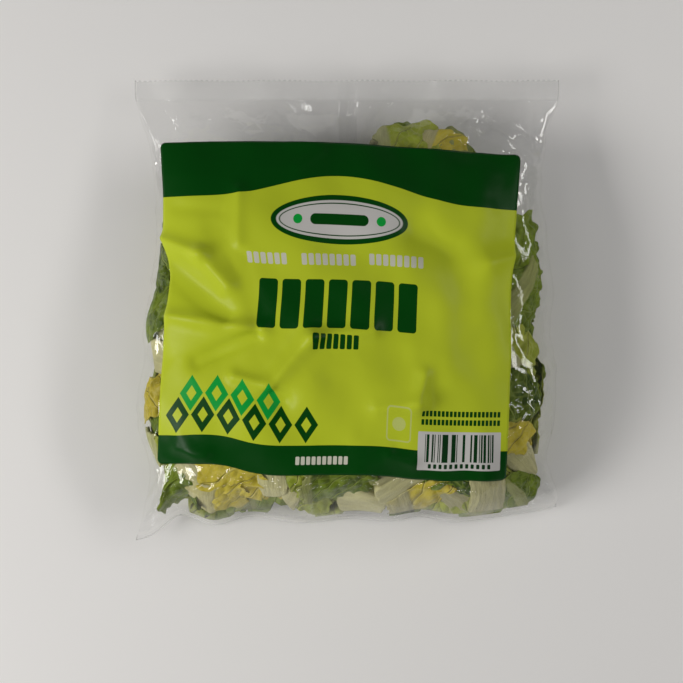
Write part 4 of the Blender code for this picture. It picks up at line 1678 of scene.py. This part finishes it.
    def material(self, grain: Tree) -> Material:
        """Build the label's material: the print, a satin face and a fine grain.

        Args:
            grain: The grain group.

        Returns:
            The material, which reads the label's UV.
        """
        material, net, shader = new_material("label_print")
        place = net.uv_mm((self.width, self.height, 0.0))
        cloud = net.ramp(net.noise(place, 0.02, 2.0), 0.3, 0.7)
        paint = Paint(net, place, net.mix(cloud, self.lime, self.lime_shade))
        for part in (self.fields, self.lozenges, self.badge, self.words, self.sign, self.bars):
            part(paint)
        fine = net.group(grain, Vector=place, Scale=2.2)
        net.fill(shader, {"Base Color": paint.colour, "IOR": 1.21,
                          "Roughness": net.ramp(fine.outputs["Value"], 0.3, 0.7, 0.30, 0.40),
                          "Normal": net.bump(fine.outputs["Height"], 0.00002, 0.5)})
        return material


@dataclass(frozen=True)
class Studio:
    """Plain pale floor, soft lights and a camera that looks straight down on the label."""

    photo_width: float = 683.0
    scale: float = 0.4624
    camera_height: float = 1052.0
    label_height: float = 52.0
    camera_place: tuple[float, float] = (-2.54, -14.8)
    sensor: float = 36.0
    floor_size: float = 3000.0
    floor_colour: Colour = (0.95, 0.935, 0.92)
    world_colour: Colour = (0.97, 0.98, 1.0)
    world_strength: float = 0.10
    soft_lights: tuple[tuple[str, Triple, Pair, float, Colour], ...] = (
        ("key", (-965.0, -260.0, 640.0), (640.0, 400.0), 8.6, (1.0, 0.985, 0.96)),
        ("strip", (880.0, 260.0, 760.0), (900.0, 160.0), 3.2, (1.0, 0.99, 0.97)))
    lamps: tuple[Triple, ...] = (
        (12.0, 700.0, 1000.0), (68.0, 700.0, 1000.0), (152.0, 700.0, 1000.0), (214.0, 700.0, 1000.0),
        (300.0, 700.0, 1000.0), (246.0, 1100.0, 700.0), (288.0, 1100.0, 760.0), (340.0, 1000.0, 760.0),
        (30.0, 1100.0, 700.0), (238.0, 1200.0, 420.0), (262.0, 1250.0, 360.0), (282.0, 1250.0, 300.0))
    lamp_size: tuple[float, float] = (260.0, 24.0)
    lamp_power: float = 0.20
    lamp_colour: Colour = (1.0, 0.99, 0.97)

    def camera(self) -> None:
        """Place the camera over the bag with the lens that gives the photograph's scale."""
        data = bpy.data.cameras.new("camera")
        data.sensor_width = self.sensor
        data.lens = self.sensor * (self.camera_height - self.label_height) / (self.photo_width * self.scale)
        data.clip_start, data.clip_end = 0.05, 20.0
        camera = bpy.data.objects.new("camera", data)
        camera.location = (self.camera_place[0] * MM, self.camera_place[1] * MM, self.camera_height * MM)
        bpy.context.scene.collection.objects.link(camera)
        bpy.context.scene.camera = camera

    def light(self, name: str, place: Triple, size: Pair, power: float, colour: Colour) -> None:
        """Area light that faces the bag, with its place and size in millimetres.

        Args:
            name: The lamp's name.
            place: Its middle, over the bag's middle on the floor.
            size: Its width and height.
            power: Its power in watts.
            colour: Its colour.
        """
        data = bpy.data.lights.new(name, "AREA")
        data.shape = "RECTANGLE"
        data.size, data.size_y = size[0] * MM, size[1] * MM
        data.energy, data.color = power, colour
        lamp = bpy.data.objects.new(name, data)
        spot = np.array(place) * MM
        lamp.location = tuple(spot)
        tilt = np.arccos(spot[2] / np.linalg.norm(spot))
        lamp.rotation_euler = (float(tilt), 0.0, float(np.arctan2(spot[0], -spot[1])))
        bpy.context.scene.collection.objects.link(lamp)

    def build(self) -> None:
        """Make the floor, the lights, the surrounding light and the camera."""
        half = self.floor_size / 2
        corners = np.array([(-half, -half, 0.0), (half, -half, 0.0), (half, half, 0.0), (-half, half, 0.0)])
        floor = make_piece("floor", corners, [np.array([[0, 1, 2, 3]])])
        material, net, shader = new_material("pale_floor")
        place = net.add("ShaderNodeTexCoord").outputs["Object"]
        darker = tuple(0.97 * part for part in self.floor_colour)
        shade = net.mix(net.noise(place, 2.0, 2.0), self.floor_colour, darker)
        net.fill(shader, {"Base Color": shade, "Roughness": 0.85})
        dress(floor, material)
        for soft in self.soft_lights:
            self.light(*soft)
        for number, (angle, reach, height) in enumerate(self.lamps):
            turn = np.radians(angle)
            place = (reach * float(np.cos(turn)), reach * float(np.sin(turn)), height)
            self.light(f"lamp_{number + 1}", place, self.lamp_size, self.lamp_power, self.lamp_colour)
        world = bpy.data.worlds.new("surround")
        world.use_nodes = True
        background = world.node_tree.nodes["Background"]
        background.inputs["Color"].default_value = (*self.world_colour, 1.0)
        background.inputs["Strength"].default_value = self.world_strength
        bpy.context.scene.world = world
        self.camera()
        view = bpy.context.scene.view_settings
        view.view_transform, view.look = "Standard", "None"


LEAF_FINISHES = {
    Kind.GREEN: LeafFinish("leaf_green", (0.022, 0.056, 0.002), (0.24, 0.33, 0.013), (0.285, 0.36, 0.050),
                           (0.36, 0.385, 0.12)),
    Kind.LIGHT: LeafFinish("leaf_light", (0.21, 0.285, 0.015), (0.42, 0.46, 0.050), (0.44, 0.46, 0.11),
                           (0.50, 0.50, 0.25)),
    Kind.HEART: LeafFinish("leaf_heart", (0.46, 0.375, 0.022), (0.72, 0.60, 0.058), (0.62, 0.54, 0.13),
                           (0.58, 0.54, 0.26), browning=0.7),
    Kind.RIB: LeafFinish("leaf_rib", (0.32, 0.35, 0.08), (0.42, 0.43, 0.125), (0.47, 0.455, 0.18),
                         (0.60, 0.57, 0.29)),
}


def main() -> None:
    """Build every class in order and report each piece."""
    logging.basicConfig(level=logging.INFO, format="%(name)s: %(message)s")
    form = BagForm()
    skin = Skin(form)
    grain, veins = grain_group(), vein_group()
    film_look = FilmFinish().material(grain)
    for piece in (Film(form, skin).build(), BackSeam(form, skin).build()):
        dress(piece, film_look)
        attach(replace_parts(piece, "bag"), "root")
    label = Label(form).build()
    dress(label, LabelPrint().material(grain))
    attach(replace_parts(label, "label"), "root")
    leaves = Leaves(form, skin)
    shown, behind = leaves.placed(), leaves.filled()
    for kind in Kind:
        piece = leaves.build_kind(kind, shown, behind)
        dress(piece, LEAF_FINISHES[kind].material(veins, grain))
        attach(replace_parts(piece, "bag"), "root")
    core = leaves.build_core()
    # The core has no tone, rib, margin or rim attribute, so the green leaf finish reads them as 0 and gives
    # it its darkest green: painted shade in the deep gaps between the leaves.
    dress(core, LEAF_FINISHES[Kind.GREEN].material(veins, grain))
    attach(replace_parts(core, "bag"), "root")
    Studio().build()


if __name__ == "__main__":
    main()
